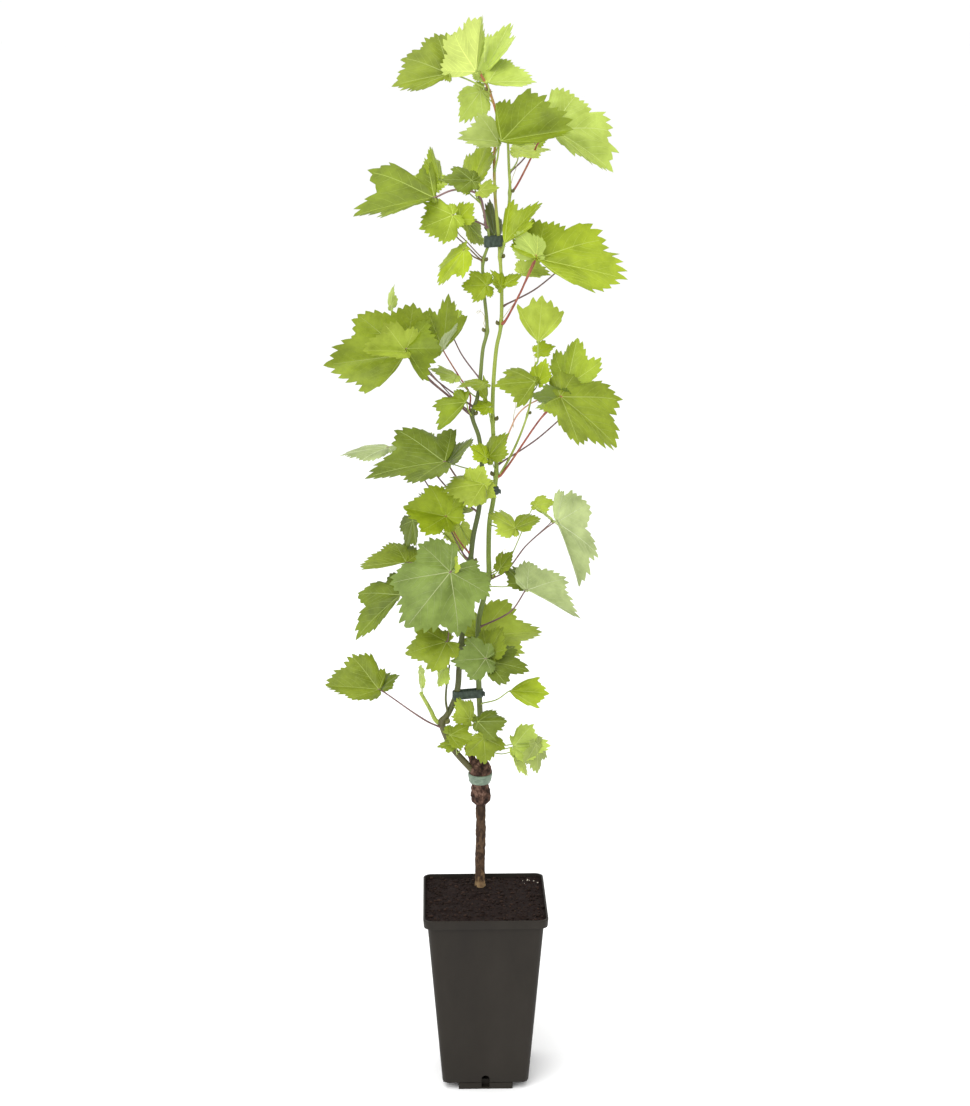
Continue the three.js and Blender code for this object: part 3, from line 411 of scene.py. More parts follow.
STALKS = {
    "green": [(0.3, (132, 152, 62)), (0.7, (164, 180, 84))],
    "dark": [(0.3, (84, 62, 44)), (0.7, (120, 100, 60))],
    "red": [(0.3, (120, 52, 48)), (0.5, (152, 78, 62)), (0.75, (170, 112, 74))],
    "pink": [(0.3, (186, 132, 108)), (0.7, (206, 166, 132))],
    "purple": [(0.3, (96, 66, 70)), (0.6, (122, 92, 90)), (0.8, (140, 120, 92))],
}

STALK_RADIUS = 0.42  # at the foot, and more with the blade's length
SHARED_STALK = 0.75

# ---- Mesh making ----


class Shape:
    """Points and faces gathered for one piece, each face with its place in the material list."""

    def __init__(self):
        self.points, self.faces, self.places, self.count = [], [], [], 0

    def add(self, points, faces, place=0):
        points = np.asarray(points, float).reshape(-1, 3)
        faces = np.asarray(faces, int)
        self.points.append(points)
        self.faces.append(faces + self.count)
        self.places.append(np.full(len(faces), place))
        self.count += len(points)

    def grid(self, points, place=0, around=False, turned=False):
        """Quads between the rows of points[row, column]; around joins the last column to the first.

        They face outwards where the columns turn to the right about the rows' way ahead, and turned
        makes them face the other way.
        """
        points = np.asarray(points, float)
        rows, columns = points.shape[:2]
        last = columns if around else columns - 1
        row, column = np.meshgrid(np.arange(rows - 1), np.arange(last), indexing="ij")
        after = (column + 1) % columns
        a, b = row * columns + column, row * columns + after
        c, d = (row + 1) * columns + after, (row + 1) * columns + column
        quads = np.stack([a, b, c, d], -1).reshape(-1, 4)
        self.add(points, quads[:, ::-1] if turned else quads, place)

    def bar(self, rows):
        """A grid that is closed around and at both ends."""
        corners = range(len(rows[0]))
        self.grid(rows, around=True)
        self.add(rows[0], [corners[::-1]])
        self.add(rows[-1], [corners])

    def mesh(self, name):
        mesh = bpy.data.meshes.new(name)
        points = np.concatenate(self.points) * MM + ORIGIN
        corners = np.concatenate([f.ravel() for f in self.faces])
        sizes = np.concatenate([np.full(len(f), f.shape[1]) for f in self.faces])
        mesh.vertices.add(len(points))
        mesh.vertices.foreach_set("co", points.astype(np.float32).ravel())
        mesh.loops.add(len(corners))
        mesh.loops.foreach_set("vertex_index", corners.astype(np.int32))
        mesh.polygons.add(len(sizes))
        mesh.polygons.foreach_set("loop_start", (np.cumsum(sizes) - sizes).astype(np.int32))
        mesh.polygons.foreach_set("material_index", np.concatenate(self.places).astype(np.int32))
        mesh.polygons.foreach_set("use_smooth", np.ones(len(sizes), bool))
        mesh.update(calc_edges=True)
        mesh.validate()
        return mesh

    def make(self, name, materials, nodes, slot):
        make_piece(name, self.mesh(name), materials, nodes)


def into_scene(name, data):
    made = bpy.data.objects.new(name, data)
    bpy.context.scene.collection.objects.link(made)
    return made


replaced = set()


def make_piece(name, mesh, materials, nodes):
    """A piece on the body, which stands for those of the CAD nodes that no piece stands for yet."""
    for material in materials:
        mesh.materials.append(material)
    piece = into_scene(name, mesh)
    fresh = [node for node in nodes if node not in replaced]
    replaced.update(fresh)
    if fresh:
        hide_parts(*fresh)
    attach(piece, BODY)


def circle(count):
    return np.linspace(0, 2 * math.pi, count, endpoint=False)


def unit(vector):
    return vector / np.linalg.norm(vector)


def smooth_path(points, step):
    """Points an even step apart on the centripetal Catmull-Rom curve through the given ones."""
    p = np.array(points, float)
    p = np.vstack([2 * p[0] - p[1], p, 2 * p[-1] - p[-2]])
    dense = []
    for i in range(1, len(p) - 2):
        d0, d1, d2 = (math.sqrt(np.linalg.norm(p[i + j] - p[i + j - 1])) for j in (0, 1, 2))
        t1 = ((p[i] - p[i - 1]) / d0 - (p[i + 1] - p[i - 1]) / (d0 + d1) + (p[i + 1] - p[i]) / d1) * d1
        t2 = ((p[i + 1] - p[i]) / d1 - (p[i + 2] - p[i]) / (d1 + d2) + (p[i + 2] - p[i + 1]) / d2) * d1
        t = np.linspace(0, 1, 40, endpoint=False)[:, None]
        rise = p[i + 1] - p[i]
        dense.append(p[i] + t1 * t + (3 * rise - 2 * t1 - t2) * t**2 + (t1 + t2 - 2 * rise) * t**3)
    dense = np.vstack([*dense, p[-2][None]])
    along = np.concatenate([[0], np.cumsum(np.linalg.norm(np.diff(dense, axis=0), axis=1))])
    even = np.linspace(0, along[-1], max(4, int(round(along[-1] / step)) + 1))
    return np.stack([np.interp(even, along, dense[:, k]) for k in range(3)], -1)


def frames(path):
    """A tangent, a normal and a binormal at each point, carried along the path without a twist."""
    tangents = np.gradient(path, axis=0)
    tangents /= np.linalg.norm(tangents, axis=1)[:, None]
    normal = np.cross(tangents[0], (0.3, 1, 0.1))
    normals = []
    for tangent in tangents:
        normal = unit(normal - tangent * normal.dot(tangent))
        normals.append(normal)
    normals = np.array(normals)
    return tangents, normals, np.cross(tangents, normals)


def tube(shape, path, radii, sides, place=0, rounded=True, relief=None):
    """A closed round bar along a path. relief(points, angles) gives factors on the radius."""
    tangents, normals, binormals = frames(path)
    angles = circle(sides)
    ring = np.cos(angles)[None, :, None] * normals[:, None]
    ring = ring + np.sin(angles)[None, :, None] * binormals[:, None]
    swell = relief(path, angles) if relief else np.ones((len(path), sides))
    grid = path[:, None] + ring * (np.asarray(radii, float)[:, None] * swell)[..., None]
    caps = ((0.9, 0.35), (0.6, 0.65), (0.0, 0.75)) if rounded else ((0.0, 0.0),)

    def cap(end, outwards):
        return [
            path[end] + (grid[end] - path[end]) * share + outwards * radii[end] * out
            for share, out in caps
        ]

    shape.grid([*cap(0, -tangents[0])[::-1], *grid, *cap(-1, tangents[-1])], place, around=True)


def rumple(point, size, seed=0.0):
    """Smooth seeded noise from -1 to 1, with humps about size across."""
    return noise.noise(Vector((point[0] / size + seed, point[1] / size - seed, point[2] / size)))


def barky(girth, humps, cracks=None):
    """A relief of humps (height, size, seed) and of ridges (depth, width, size, seed, squash)."""

    def swell(angle, height):
        spot = (math.cos(angle) * girth, math.sin(angle) * girth, height)
        out = 1 + sum(rise * rumple(spot, size, seed) for rise, size, seed in humps)
        if cracks:
            depth, width, size, seed, squash = cracks
            out -= depth * (width - abs(rumple((spot[0], spot[1], height * squash), size, seed)))
        return out

    return lambda points, angles: np.array([[swell(a, point[2]) for a in angles] for point in points])


# ---- Materials ----

RAGGED = 0.6  # how far noise moves the stops of a colour that climbs the plant


def linear(rgb):
    return [(c / 255 / 12.92 if c <= 10 else ((c / 255 + 0.055) / 1.055) ** 2.4) for c in rgb] + [1]


def shade(rgb, factor):
    return tuple(min(255, c * factor) for c in rgb)


def mottled(name, stops, size, roughness, bump, grain, stretch=1.0, climb=None, specular=0.5):
    """A material whose colour runs through stops by a noise with marks of the given size in mm.

    climb (low, high) lays the stops up the plant between two heights instead, with a ragged edge.
    stretch makes the marks longer along Z. bump is the height of a finer relief, grain its size.
    """
    material = bpy.data.materials.new(name)
    material.use_nodes = True
    nodes, links = material.node_tree.nodes, material.node_tree.links
    surface = nodes["Principled BSDF"]

    def add(kind, output, settings):
        """A node whose sockets are set, or linked where the setting is another node's output."""
        made = nodes.new("ShaderNode" + kind)
        for socket, setting in settings.items():
            if isinstance(setting, bpy.types.NodeSocket):
                links.new(setting, made.inputs[socket])
            else:
                made.inputs[socket].default_value = setting
        return made.outputs[output]

    place = add("TexCoord", "Object", {})
    spot = add("Mapping", "Vector", {"Vector": place, "Scale": (1, 1, 1 / stretch)})
    factor = add("TexNoise", "Fac", {"Vector": spot, "Scale": 1000 / size, "Detail": 5, "Roughness": 0.6})
    if climb:
        low, high = (height * MM for height in climb)
        height = add("SeparateXYZ", "Z", {"Vector": place})
        share = add("MapRange", "Result", {
            "Value": height, "From Min": low, "From Max": high, "To Min": -RAGGED / 2,
            "To Max": 1 - RAGGED / 2,
        })
        share.node.clamp = False
        factor = add("Math", "Value", {0: factor, 1: RAGGED, 2: share})
        factor.node.operation = "MULTIPLY_ADD"
    colour = add("ValToRGB", "Color", {"Fac": factor})
    ramp = colour.node.color_ramp.elements
    for number, (position, rgb) in enumerate(stops):
        stop = ramp[number] if number < len(ramp) else ramp.new(position)
        stop.position = position
        stop.color = linear(rgb)
    links.new(colour, surface.inputs["Base Color"])
    surface.inputs["Roughness"].default_value = roughness
    surface.inputs["Specular IOR Level"].default_value = specular
    fine = add("TexNoise", "Fac", {"Vector": spot, "Scale": 1000 / grain, "Detail": 4})
    relief = add("Bump", "Normal", {"Height": fine, "Strength": 0.7, "Distance": bump * MM})
    links.new(relief, surface.inputs["Normal"])
    return material


# ---- Pot and soil ----


def rounded_square(half, per_side=8):
    """Points round a square with round corners, anticlockwise from the right side's lower end."""
    corner = POT_CORNER * half / POT_TOP_HALF
    inner = half - corner
    side = [(half, y) for y in np.linspace(-inner, inner, per_side, endpoint=False)]
    bend = [
        (inner + corner * math.cos(a), inner + corner * math.sin(a))
        for a in np.linspace(0, math.pi / 2, CORNER_POINTS, endpoint=False)
    ]
    return np.vstack([turn_quarters(side + bend, quarter) for quarter in range(4)])


def turn_quarters(points, quarter):
    """Points (right, back) turned by quarters of a turn."""
    angle = quarter * math.pi / 2
    turn = np.array([[math.cos(angle), -math.sin(angle)], [math.sin(angle), math.cos(angle)]])
    return np.array(points) @ turn.T


def at_level(outline, height):
    return np.column_stack([outline, np.full(len(outline), height)])


def wall_half(height):
    share = (height - POT_LIFT) / (POT_HEIGHT - POT_RIM_HEIGHT - POT_LIFT)
    return POT_FOOT_HALF + (POT_TOP_HALF - POT_FOOT_HALF) * share


def make_shell():
    """The pot's wall, floor and rim as one bar, whose rings are (height, half width)."""
    band = POT_HEIGHT - POT_RIM_HEIGHT  # where the rim band starts
    inner_top = POT_RIM_HALF - POT_LIP
    rim_low = POT_RIM_HALF - POT_RIM_DRAFT
    r = POT_ROUND
    rings = [
        (POT_LIFT, POT_FOOT_HALF - 3), (POT_LIFT + 0.5, POT_FOOT_HALF - 1.5),
        (POT_LIFT + 1.4, POT_FOOT_HALF - 0.5),
    ]
    rings += [(height, wall_half(height)) for height in np.linspace(POT_LIFT + 3, band - 3, 12)]
    rings += [
        (band - 0.6, POT_TOP_HALF), (band, POT_TOP_HALF + 0.5),
        (band, rim_low - r), (band + r * 0.3, rim_low - r * 0.3), (band + r, rim_low),
        (POT_HEIGHT - 2.6, POT_RIM_HALF - 0.15), (POT_HEIGHT - r * 1.2, POT_RIM_HALF),
        (POT_HEIGHT - r * 0.35, POT_RIM_HALF - r * 0.35), (POT_HEIGHT, POT_RIM_HALF - r * 1.2),
        (POT_HEIGHT - r * 0.3, inner_top + r * 0.1), (POT_HEIGHT - r, inner_top),
        (band + 2.4, inner_top - 0.2), (band + 1.8, inner_top - 0.9),
    ]
    rings += [(height, wall_half(height) - POT_WALL) for height in np.linspace(band + 1.5, POT_FLOOR, 8)]
    shell = Shape()
    shell.bar([at_level(rounded_square(half), height) for height, half in rings])
    return shell


def make_foot():
    """The foot's plan is a cross that runs from wall to wall both ways."""
    arm, reach = POT_FOOT_WIDTH / 2, wall_half(0)
    corner = [(arm, -reach), (arm, -arm), (reach, -arm)]
    plan = np.vstack([turn_quarters(corner, quarter) for quarter in range(4)])
    foot = Shape()
    foot.bar([at_level(plan, 0), at_level(plan, POT_LIFT + FOOT_OVERLAP)])
    return foot


def make_slots():
    """What the drain slots cut away: one arch in each side."""
    half = SLOT_WIDTH / 2
    arch = [(-half, SLOT_WEB), (half, SLOT_WEB)]
    arch += [
        (half * math.cos(a), SLOT_HEIGHT - half + half * math.sin(a)) for a in np.linspace(0, math.pi, 11)
    ]
    slots = Shape()
    for quarter in range(4):
        rows = []
        for y in (-POT_TOP_HALF, SLOT_DEPTH - POT_FOOT_HALF):
            plan = turn_quarters([(x, y) for x, _ in arch], quarter)
            rows.append(np.column_stack([plan, [z for _, z in arch]]))
        slots.bar(rows)
    return slots


def make_pot():
    parts = []
    for make_part in (make_shell, make_foot, make_slots):
        name = make_part.__name__.replace("make", "pot")
        parts.append(into_scene(name, make_part().mesh(name)))
        join_corners(parts[-1].data)
    shell, foot, slots = parts
    for operation, tool in (("UNION", foot), ("DIFFERENCE", slots)):
        cut = shell.modifiers.new(operation.lower(), "BOOLEAN")
        cut.operation = operation
        cut.solver = "EXACT"
        cut.object = tool
    pot = bpy.data.meshes.new_from_object(shell.evaluated_get(bpy.context.evaluated_depsgraph_get()))
    for part in parts:
        bpy.data.objects.remove(part)
    pot.polygons.foreach_set("use_smooth", np.ones(len(pot.polygons), bool))
    pot.set_sharp_from_angle(angle=math.radians(POT_SHARP))
    plastic = mottled(
        "dusty_black_plastic", [(0.35, (33, 29, 25)), (0.5, (37, 33, 28)), (0.72, (42, 38, 33))],
        70, roughness=0.5, bump=0.05, grain=2.2, stretch=2.5, specular=0.16)
    make_piece("nursery_pot", pot, [plastic], ["pot"])


def join_corners(mesh):
    """Makes one closed surface of faces that meet, all facing outwards."""
    shell = bmesh.new()
    shell.from_mesh(mesh)
    bmesh.ops.remove_doubles(shell, verts=shell.verts, dist=1e-7)
    bmesh.ops.recalc_face_normals(shell, faces=shell.faces)
    shell.to_mesh(mesh)
    shell.free()


def soil_height(x, y):
    humps = sum(rise * rumple((x, y, 0), size, seed) for rise, size, seed in SOIL_HUMPS)
    from_stem = math.hypot(x - ROOTSTOCK[0][0], y - ROOTSTOCK[0][1])
    mound = MOUND * math.exp(-((from_stem / MOUND_RADIUS) ** 2))
    return SOIL_TOP + 0.6 + SOIL_RELIEF * humps + mound


def lump(shape, rng, centre, size, place):
    """A rough crumb: a squashed ball with dents."""
    seed = rng.uniform(0, 50)
    turn = rng.uniform(0, math.pi)
    squash = (rng.uniform(0.7, 1.3), rng.uniform(0.7, 1.2), rng.uniform(0.5, 0.9))
    grid = []
    for tilt in np.linspace(0, math.pi, CRUMB_RINGS):
        ring = []
        for spin in circle(CRUMB_SIDES):
            ball = (math.sin(tilt) * math.cos(spin), math.sin(tilt) * math.sin(spin), math.cos(tilt))
            dent = 1 + 0.35 * rumple(ball, 0.8, seed)
            x, y, z = (ball[k] * squash[k] * dent * size for k in range(3))
            ring.append((
                centre[0] + x * math.cos(turn) - y * math.sin(turn),
                centre[1] + x * math.sin(turn) + y * math.cos(turn),
                centre[2] + z,
            ))
        grid.append(ring)
    shape.grid(grid, place, around=True, turned=True)


def make_soil():
    rng = random.Random(SEED)
    half = POT_RIM_HALF - POT_LIP - SOIL_GAP
    surface = Shape()
    outline = rounded_square(half, per_side=22)
    rings = [
        [(x, y, soil_height(x, y) - SOIL_EDGE_DROP * share**12) for x, y in outline * share]
        for share in np.linspace(0.012, 1, 56) ** 0.8
    ]
    surface.grid(rings, around=True)
    surface.add(rings[0], [range(len(outline))])
    surface.grid([rings[-1], at_level(outline, SOIL_TOP - 3)], around=True, turned=True)
    for _ in range(CRUMBS):
        x, y = rng.uniform(-half, half) * CRUMB_AREA, rng.uniform(-half, half) * CRUMB_AREA
        size = rng.uniform(*(SMALL_CRUMBS if rng.random() < SHARE_SMALL else LARGE_CRUMBS))
        height = min(soil_height(x, y) + size * 0.25, CRUMBS_TOP)
        place = 1 + (rng.random() < SHARE_FIBRE)
        lump(surface, rng, (x, y, height), size, place)
    for _ in range(PALE_GRAINS):
        x, y = rng.uniform(0.65, 0.96) * half, rng.uniform(0.6, 0.95) * half
        lump(surface, rng, (x, y, soil_height(x, y) + 0.4), rng.uniform(0.4, 0.9), 3)
    materials = [
        mottled("damp_peat", [(0.3, (17, 11, 9)), (0.55, (30, 20, 17)), (0.8, (46, 33, 28))], 3.2, 0.95,
                1.1, 1.6, specular=0.15),
        mottled("peat_crumb", [(0.3, (22, 15, 12)), (0.7, (42, 30, 25))], 2, 0.95, 0.5, 0.9, specular=0.15),
        mottled("peat_fibre", [(0.3, (34, 24, 20)), (0.7, (60, 44, 36))], 2, 0.95, 0.5, 0.9, specular=0.15),
        mottled("pale_grit", [(0.3, (150, 138, 122)), (0.7, (205, 198, 186))], 1, 0.9, 0.3, 0.6),
    ]
    surface.make("potting_soil", materials, ["soil"], "soil")


# ---- Wood and shoots ----


def make_rootstock():
    path = smooth_path(ROOTSTOCK, 1.1)
    flare = np.clip(1 - (path[:, 2] - SOIL_TOP) / ROOT_FLARE_HEIGHT, 0, 1)
    radii = ROOTSTOCK_RADIUS - 0.1 * np.linspace(0, 1, len(path)) + ROOT_FLARE * flare
    trunk = Shape()
    relief = barky(6, ((0.11, 11, 2.0), (0.11, 3.2, 9.0)), (0.12, 0.3, 2.1, 4.4, 1 / 6))
    tube(trunk, path, radii, 48, rounded=False, relief=relief)
    bark = mottled(
        "rootstock_bark",
        [(0.0, (140, 116, 84)), (0.1, (118, 94, 68)), (0.17, (62, 48, 38)), (0.3, (90, 70, 54)),
         (0.4, (50, 38, 31)), (0.5, (96, 76, 58)), (0.6, (54, 41, 34)), (0.72, (84, 65, 50)),
         (0.85, (48, 37, 30)), (1.0, (72, 56, 44))],
        5, roughness=0.9, bump=1.4, grain=1.8, stretch=1.8, climb=(196, 300), specular=0.12)
    trunk.make("rootstock_trunk", [bark], ["rootstock"], "rootstock_bark")


def graft_radius(height):
    heights, radii = zip(*GRAFT_PROFILE)
    return np.interp(height - GRAFT[0][2], heights, radii)


def graft_relief(points, angles):
    """Rough bark with a pit, smoothed under the tape."""
    swell = barky(9, ((0.1, 8, 5.0), (0.07, 3, 7.0)), (0.14, 0.28, 3.2, 1.7, 0.6))(points, angles)
    from_pit = np.hypot((angles - PIT_ANGLE)[None, :] * 9, points[:, 2:] - PIT_HEIGHT)
    swell -= 0.28 * np.exp(-((from_pit / PIT_RADIUS) ** 2))
    taped = (points[:, 2] > TAPE_BOTTOM - 1) & (points[:, 2] < TAPE_TOP + 1)
    swell[taped] = 1 + (swell[taped] - 1) * 0.15
    return swell


def make_graft():
    path = smooth_path(GRAFT, 0.55)
    head = Shape()
    tube(head, path, graft_radius(path[:, 2]), 72, rounded=False, relief=graft_relief)
    spur = smooth_path(SPUR, 0.6)
    radii = SPUR_RADIUS + 0.2 * np.sin(np.linspace(0, 9, len(spur)))
    radii[-3:] *= (1.05, 1.02, 0.9)
    tube(head, spur, radii, 28, rounded=False, relief=barky(4, ((0.13, 2.4, 6.0),)))
    end = spur[-1]
    tip = unit(end - spur[-4])
    tube(head, np.array([end - tip * 0.3, end + tip * 0.1, end + tip * 0.35]), [3.1, 2.9, 2.2], 20, 1)
    bark = mottled(
        "graft_bark",
        [(0.3, (30, 22, 19)), (0.44, (56, 41, 35)), (0.54, (84, 62, 52)), (0.64, (116, 90, 78)),
         (0.8, (146, 120, 106))],
        4.6, roughness=0.9, bump=1.6, grain=1.5, stretch=1.3, specular=0.12)
    cut = mottled("old_cut", [(0.3, (58, 46, 38)), (0.7, (104, 86, 66))], 1.6, 0.9, 0.4, 0.6)
    head.make("graft_union", [bark, cut], ["graft_head"], "graft_bark")


def make_tape():
    """Two turns of a stretchy film wound round the union, each lapping the one below."""
    path = smooth_path(GRAFT, 0.5)
    path = path[(path[:, 2] >= TAPE_BOTTOM) & (path[:, 2] <= TAPE_TOP)]
    angles = circle(72)
    rows = []
    for x, y, height in path:
        share = (height - TAPE_BOTTOM) / (TAPE_TOP - TAPE_BOTTOM)
        edge = TAPE_EDGE * min(1, 6 * share, 6 * (1 - share))
        lap = (2 * share + angles / (2 * math.pi)) % 1
        creases = [0.18 * rumple((math.cos(a) * 9, math.sin(a) * 9, height), 2.6) for a in angles]
        radius = graft_radius(height) + TAPE_LIFT + edge + TAPE_LAP * lap + creases
        rows.append(np.column_stack([
            x + radius * np.cos(angles), y + radius * np.sin(angles), height + 0.4 * np.sin(angles),
        ]))
    hems = [
        np.column_stack([rows[end][:, :2] * 0.85 + path[end, :2] * 0.15, rows[end][:, 2]])
        for end in (0, -1)
    ]
    wound = Shape()
    wound.grid([hems[0], *rows, hems[1]], around=True)
    film = mottled(
        "grafting_film", [(0.3, (88, 104, 88)), (0.55, (116, 134, 116)), (0.8, (150, 164, 144))],
        4, roughness=0.5, bump=0.35, grain=1.2, stretch=0.4, specular=0.4)
    wound.make("grafting_tape", [film], ["graft_tape"], "tape")


PATHS = {name: smooth_path(route, 1.2) for name, (route, _, _, _) in SHOOTS.items()}


def shoot_radii(name):
    _, foot, tip, nodes = SHOOTS[name]
    heights = PATHS[name][:, 2]
    radii = foot + (tip - foot) * np.linspace(0, 1, len(heights))
    for node in nodes:
        radii = radii * (1 + NODE_SWELL * np.exp(-(((heights - node) / NODE_LENGTH) ** 2)))
    return radii


def at_height(name, height):
    """The point of a shoot at a height, or its tip, and the radius there."""
    path = PATHS[name]
    index = int(np.argmax(path[:, 2] >= height)) if path[-1, 2] > height else len(path) - 1
    return path[index], shoot_radii(name)[index]


def ribbed(points, angles):
    ribs = 0.035 * np.cos(7 * angles)[None, :] + 0.02 * np.sin(3 * angles)[None, :]
    wander = np.array([rumple((0, 0, point[2]), 9, 1.3) for point in points])[:, None]
    return 1 + ribs + 0.04 * wander


def add_bud(shape, centre, outwards, size, place):
    """A pointed bud lying against a shoot."""
    tip = centre + outwards * size * 1.5 + (0, 0, size * 1.6)
    middle = centre + outwards * size * 1.1 + (0, 0, size * 0.5)
    path = smooth_path([centre, middle, tip], size * 0.25)
    share = np.linspace(0, 1, len(path))
    tube(shape, path, size * (0.35 + 0.75 * np.sin(math.pi * (0.15 + 0.8 * share))), 12, place)


def make_shoots():
    rng = random.Random(SEED + 1)
    young = [(0.2, (112, 128, 58)), (0.5, (150, 166, 70)), (0.8, (172, 188, 84))]
    old = [(0.0, (82, 78, 40)), (0.35, (78, 90, 42)), (0.6, (92, 104, 48)), (1.0, (122, 138, 58))]
    green = [(0.0, (82, 86, 38)), (0.25, (98, 114, 46)), (0.45, (130, 148, 56)), (0.84, (158, 170, 70)),
             (0.93, (150, 112, 58)), (1.0, (158, 96, 58))]
    left_skin = mottled("older_shoot_skin", old, 12, 0.55, 0.25, 1.2, 3, (340, 940))
    right_skin = mottled("young_shoot_skin", green, 12, 0.5, 0.2, 1.2, 3, (340, 1050))
    side_skin = mottled("side_shoot_skin", young, 8, 0.5, 0.2, 1.2, 3)
    knot = mottled("node_bark", [(0.3, (66, 62, 30)), (0.5, (92, 90, 42)), (0.8, (116, 118, 56))], 2.2, 0.7,
                   0.4, 0.8)
    left_nodes = ["left_shoot_foot", "left_shoot_bend", "left_shoot_middle", "left_shoot_top"]
    right_nodes = ["right_shoot_lower", "right_shoot_middle", "right_shoot_top"]
    for name, piece, nodes, skin, slot in (
        ("left", "left_shoot", left_nodes, left_skin, "left_shoot_bark"),
        ("right", "right_shoot", right_nodes, right_skin, "right_shoot_bark"),
        ("side", "side_shoot_stem", ["side_shoot"], side_skin, "right_shoot_bark"),
        ("stub", "cut_stub_stem", ["cut_stub"], side_skin, "right_shoot_bark"),
        ("lateral", "lateral_stem", [], side_skin, "right_shoot_bark"),
        ("twig", "old_twig_stem", [], left_skin, "left_shoot_bark"),
    ):
        stem = Shape()
        tube(stem, PATHS[name], shoot_radii(name), 20, relief=ribbed)
        for number, height in enumerate(SHOOTS[name][3]):
            centre, radius = at_height(name, height)
            side = math.pi * number + rng.uniform(-0.5, 0.5)
            outwards = unit(np.array([math.cos(side), -0.5, 0]))
            add_bud(stem, centre + outwards * radius * 0.8, outwards, 0.9 + radius * 0.35, 1)
        stem.make(piece, [skin, knot], nodes, slot)


def loop_round(near, far):
    """Places (right, back, outward angle) round a band that goes round two upright lines."""
    turn = math.atan2(far[1] - near[1], far[0] - near[0])
    loop = []
    quarter = math.pi / 2
    for (x, y), (next_x, next_y), start in ((near, far, turn + quarter), (far, near, turn - quarter)):
        loop += [(x, y, start + bend) for bend in np.linspace(0, math.pi, 18)]
        loop += [
            (x + (next_x - x) * share, y + (next_y - y) * share, start + math.pi)
            for share in np.linspace(0, 1, 8)[1:-1]
        ]
    return loop


def make_ties():
    """Flat bands looped round the shoots, each with its end tucked out."""
    rubber = mottled("tie_rubber", [(0.3, (44, 54, 48)), (0.55, (62, 74, 66)), (0.8, (84, 96, 88))], 4,
                     0.65, 0.25, 0.7, specular=0.35)
    for number, (name, (inner, (near, far))) in enumerate(TIES.items()):
        bottom, top = ((corner.z - ORIGIN[2]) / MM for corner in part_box(name))
        height = top - bottom
        rows = []
        for k, (x, y, angle) in enumerate(loop_round(near, far)):
            lift = 0.35 * rumple((x * 1.3, y * 1.3, number), 6, 2.2)
            row = []
            for out, up in TIE_SECTION:
                crease = 0.12 * rumple((x, y, up * 9 + k), 3.0, number + 0.5)
                radius = inner + out * TIE_THICKNESS + crease
                level = bottom + up * height + lift
                row.append((x + radius * math.cos(angle), y + radius * math.sin(angle), level))
            rows.append(row)
        band = Shape()
        band.grid([*rows, rows[0]], around=True)
        turn = math.atan2(far[1] - near[1], far[0] - near[0])
        start = np.array([far[0] + inner * math.cos(turn), far[1] - inner * 0.5, bottom + height * 0.5])
        tail = smooth_path([start, start + (1.8, -0.9, -0.2), start + (3.2, -1.0, -1.0)], 0.5)
        widths = np.linspace(1, 0.8, len(tail)) * height * 0.34
        sideways = np.cross(np.gradient(tail, axis=0), (0, 0, 1))
        band.bar([
            [centre + np.array((0, 0, width * math.sin(a))) + side * 0.42 * math.cos(a) for a in circle(14)]
            for centre, width, side in zip(tail, widths, sideways)
        ])
        band.make(name + "_band", [rubber], [name], "tie")


# ---- Blades ----


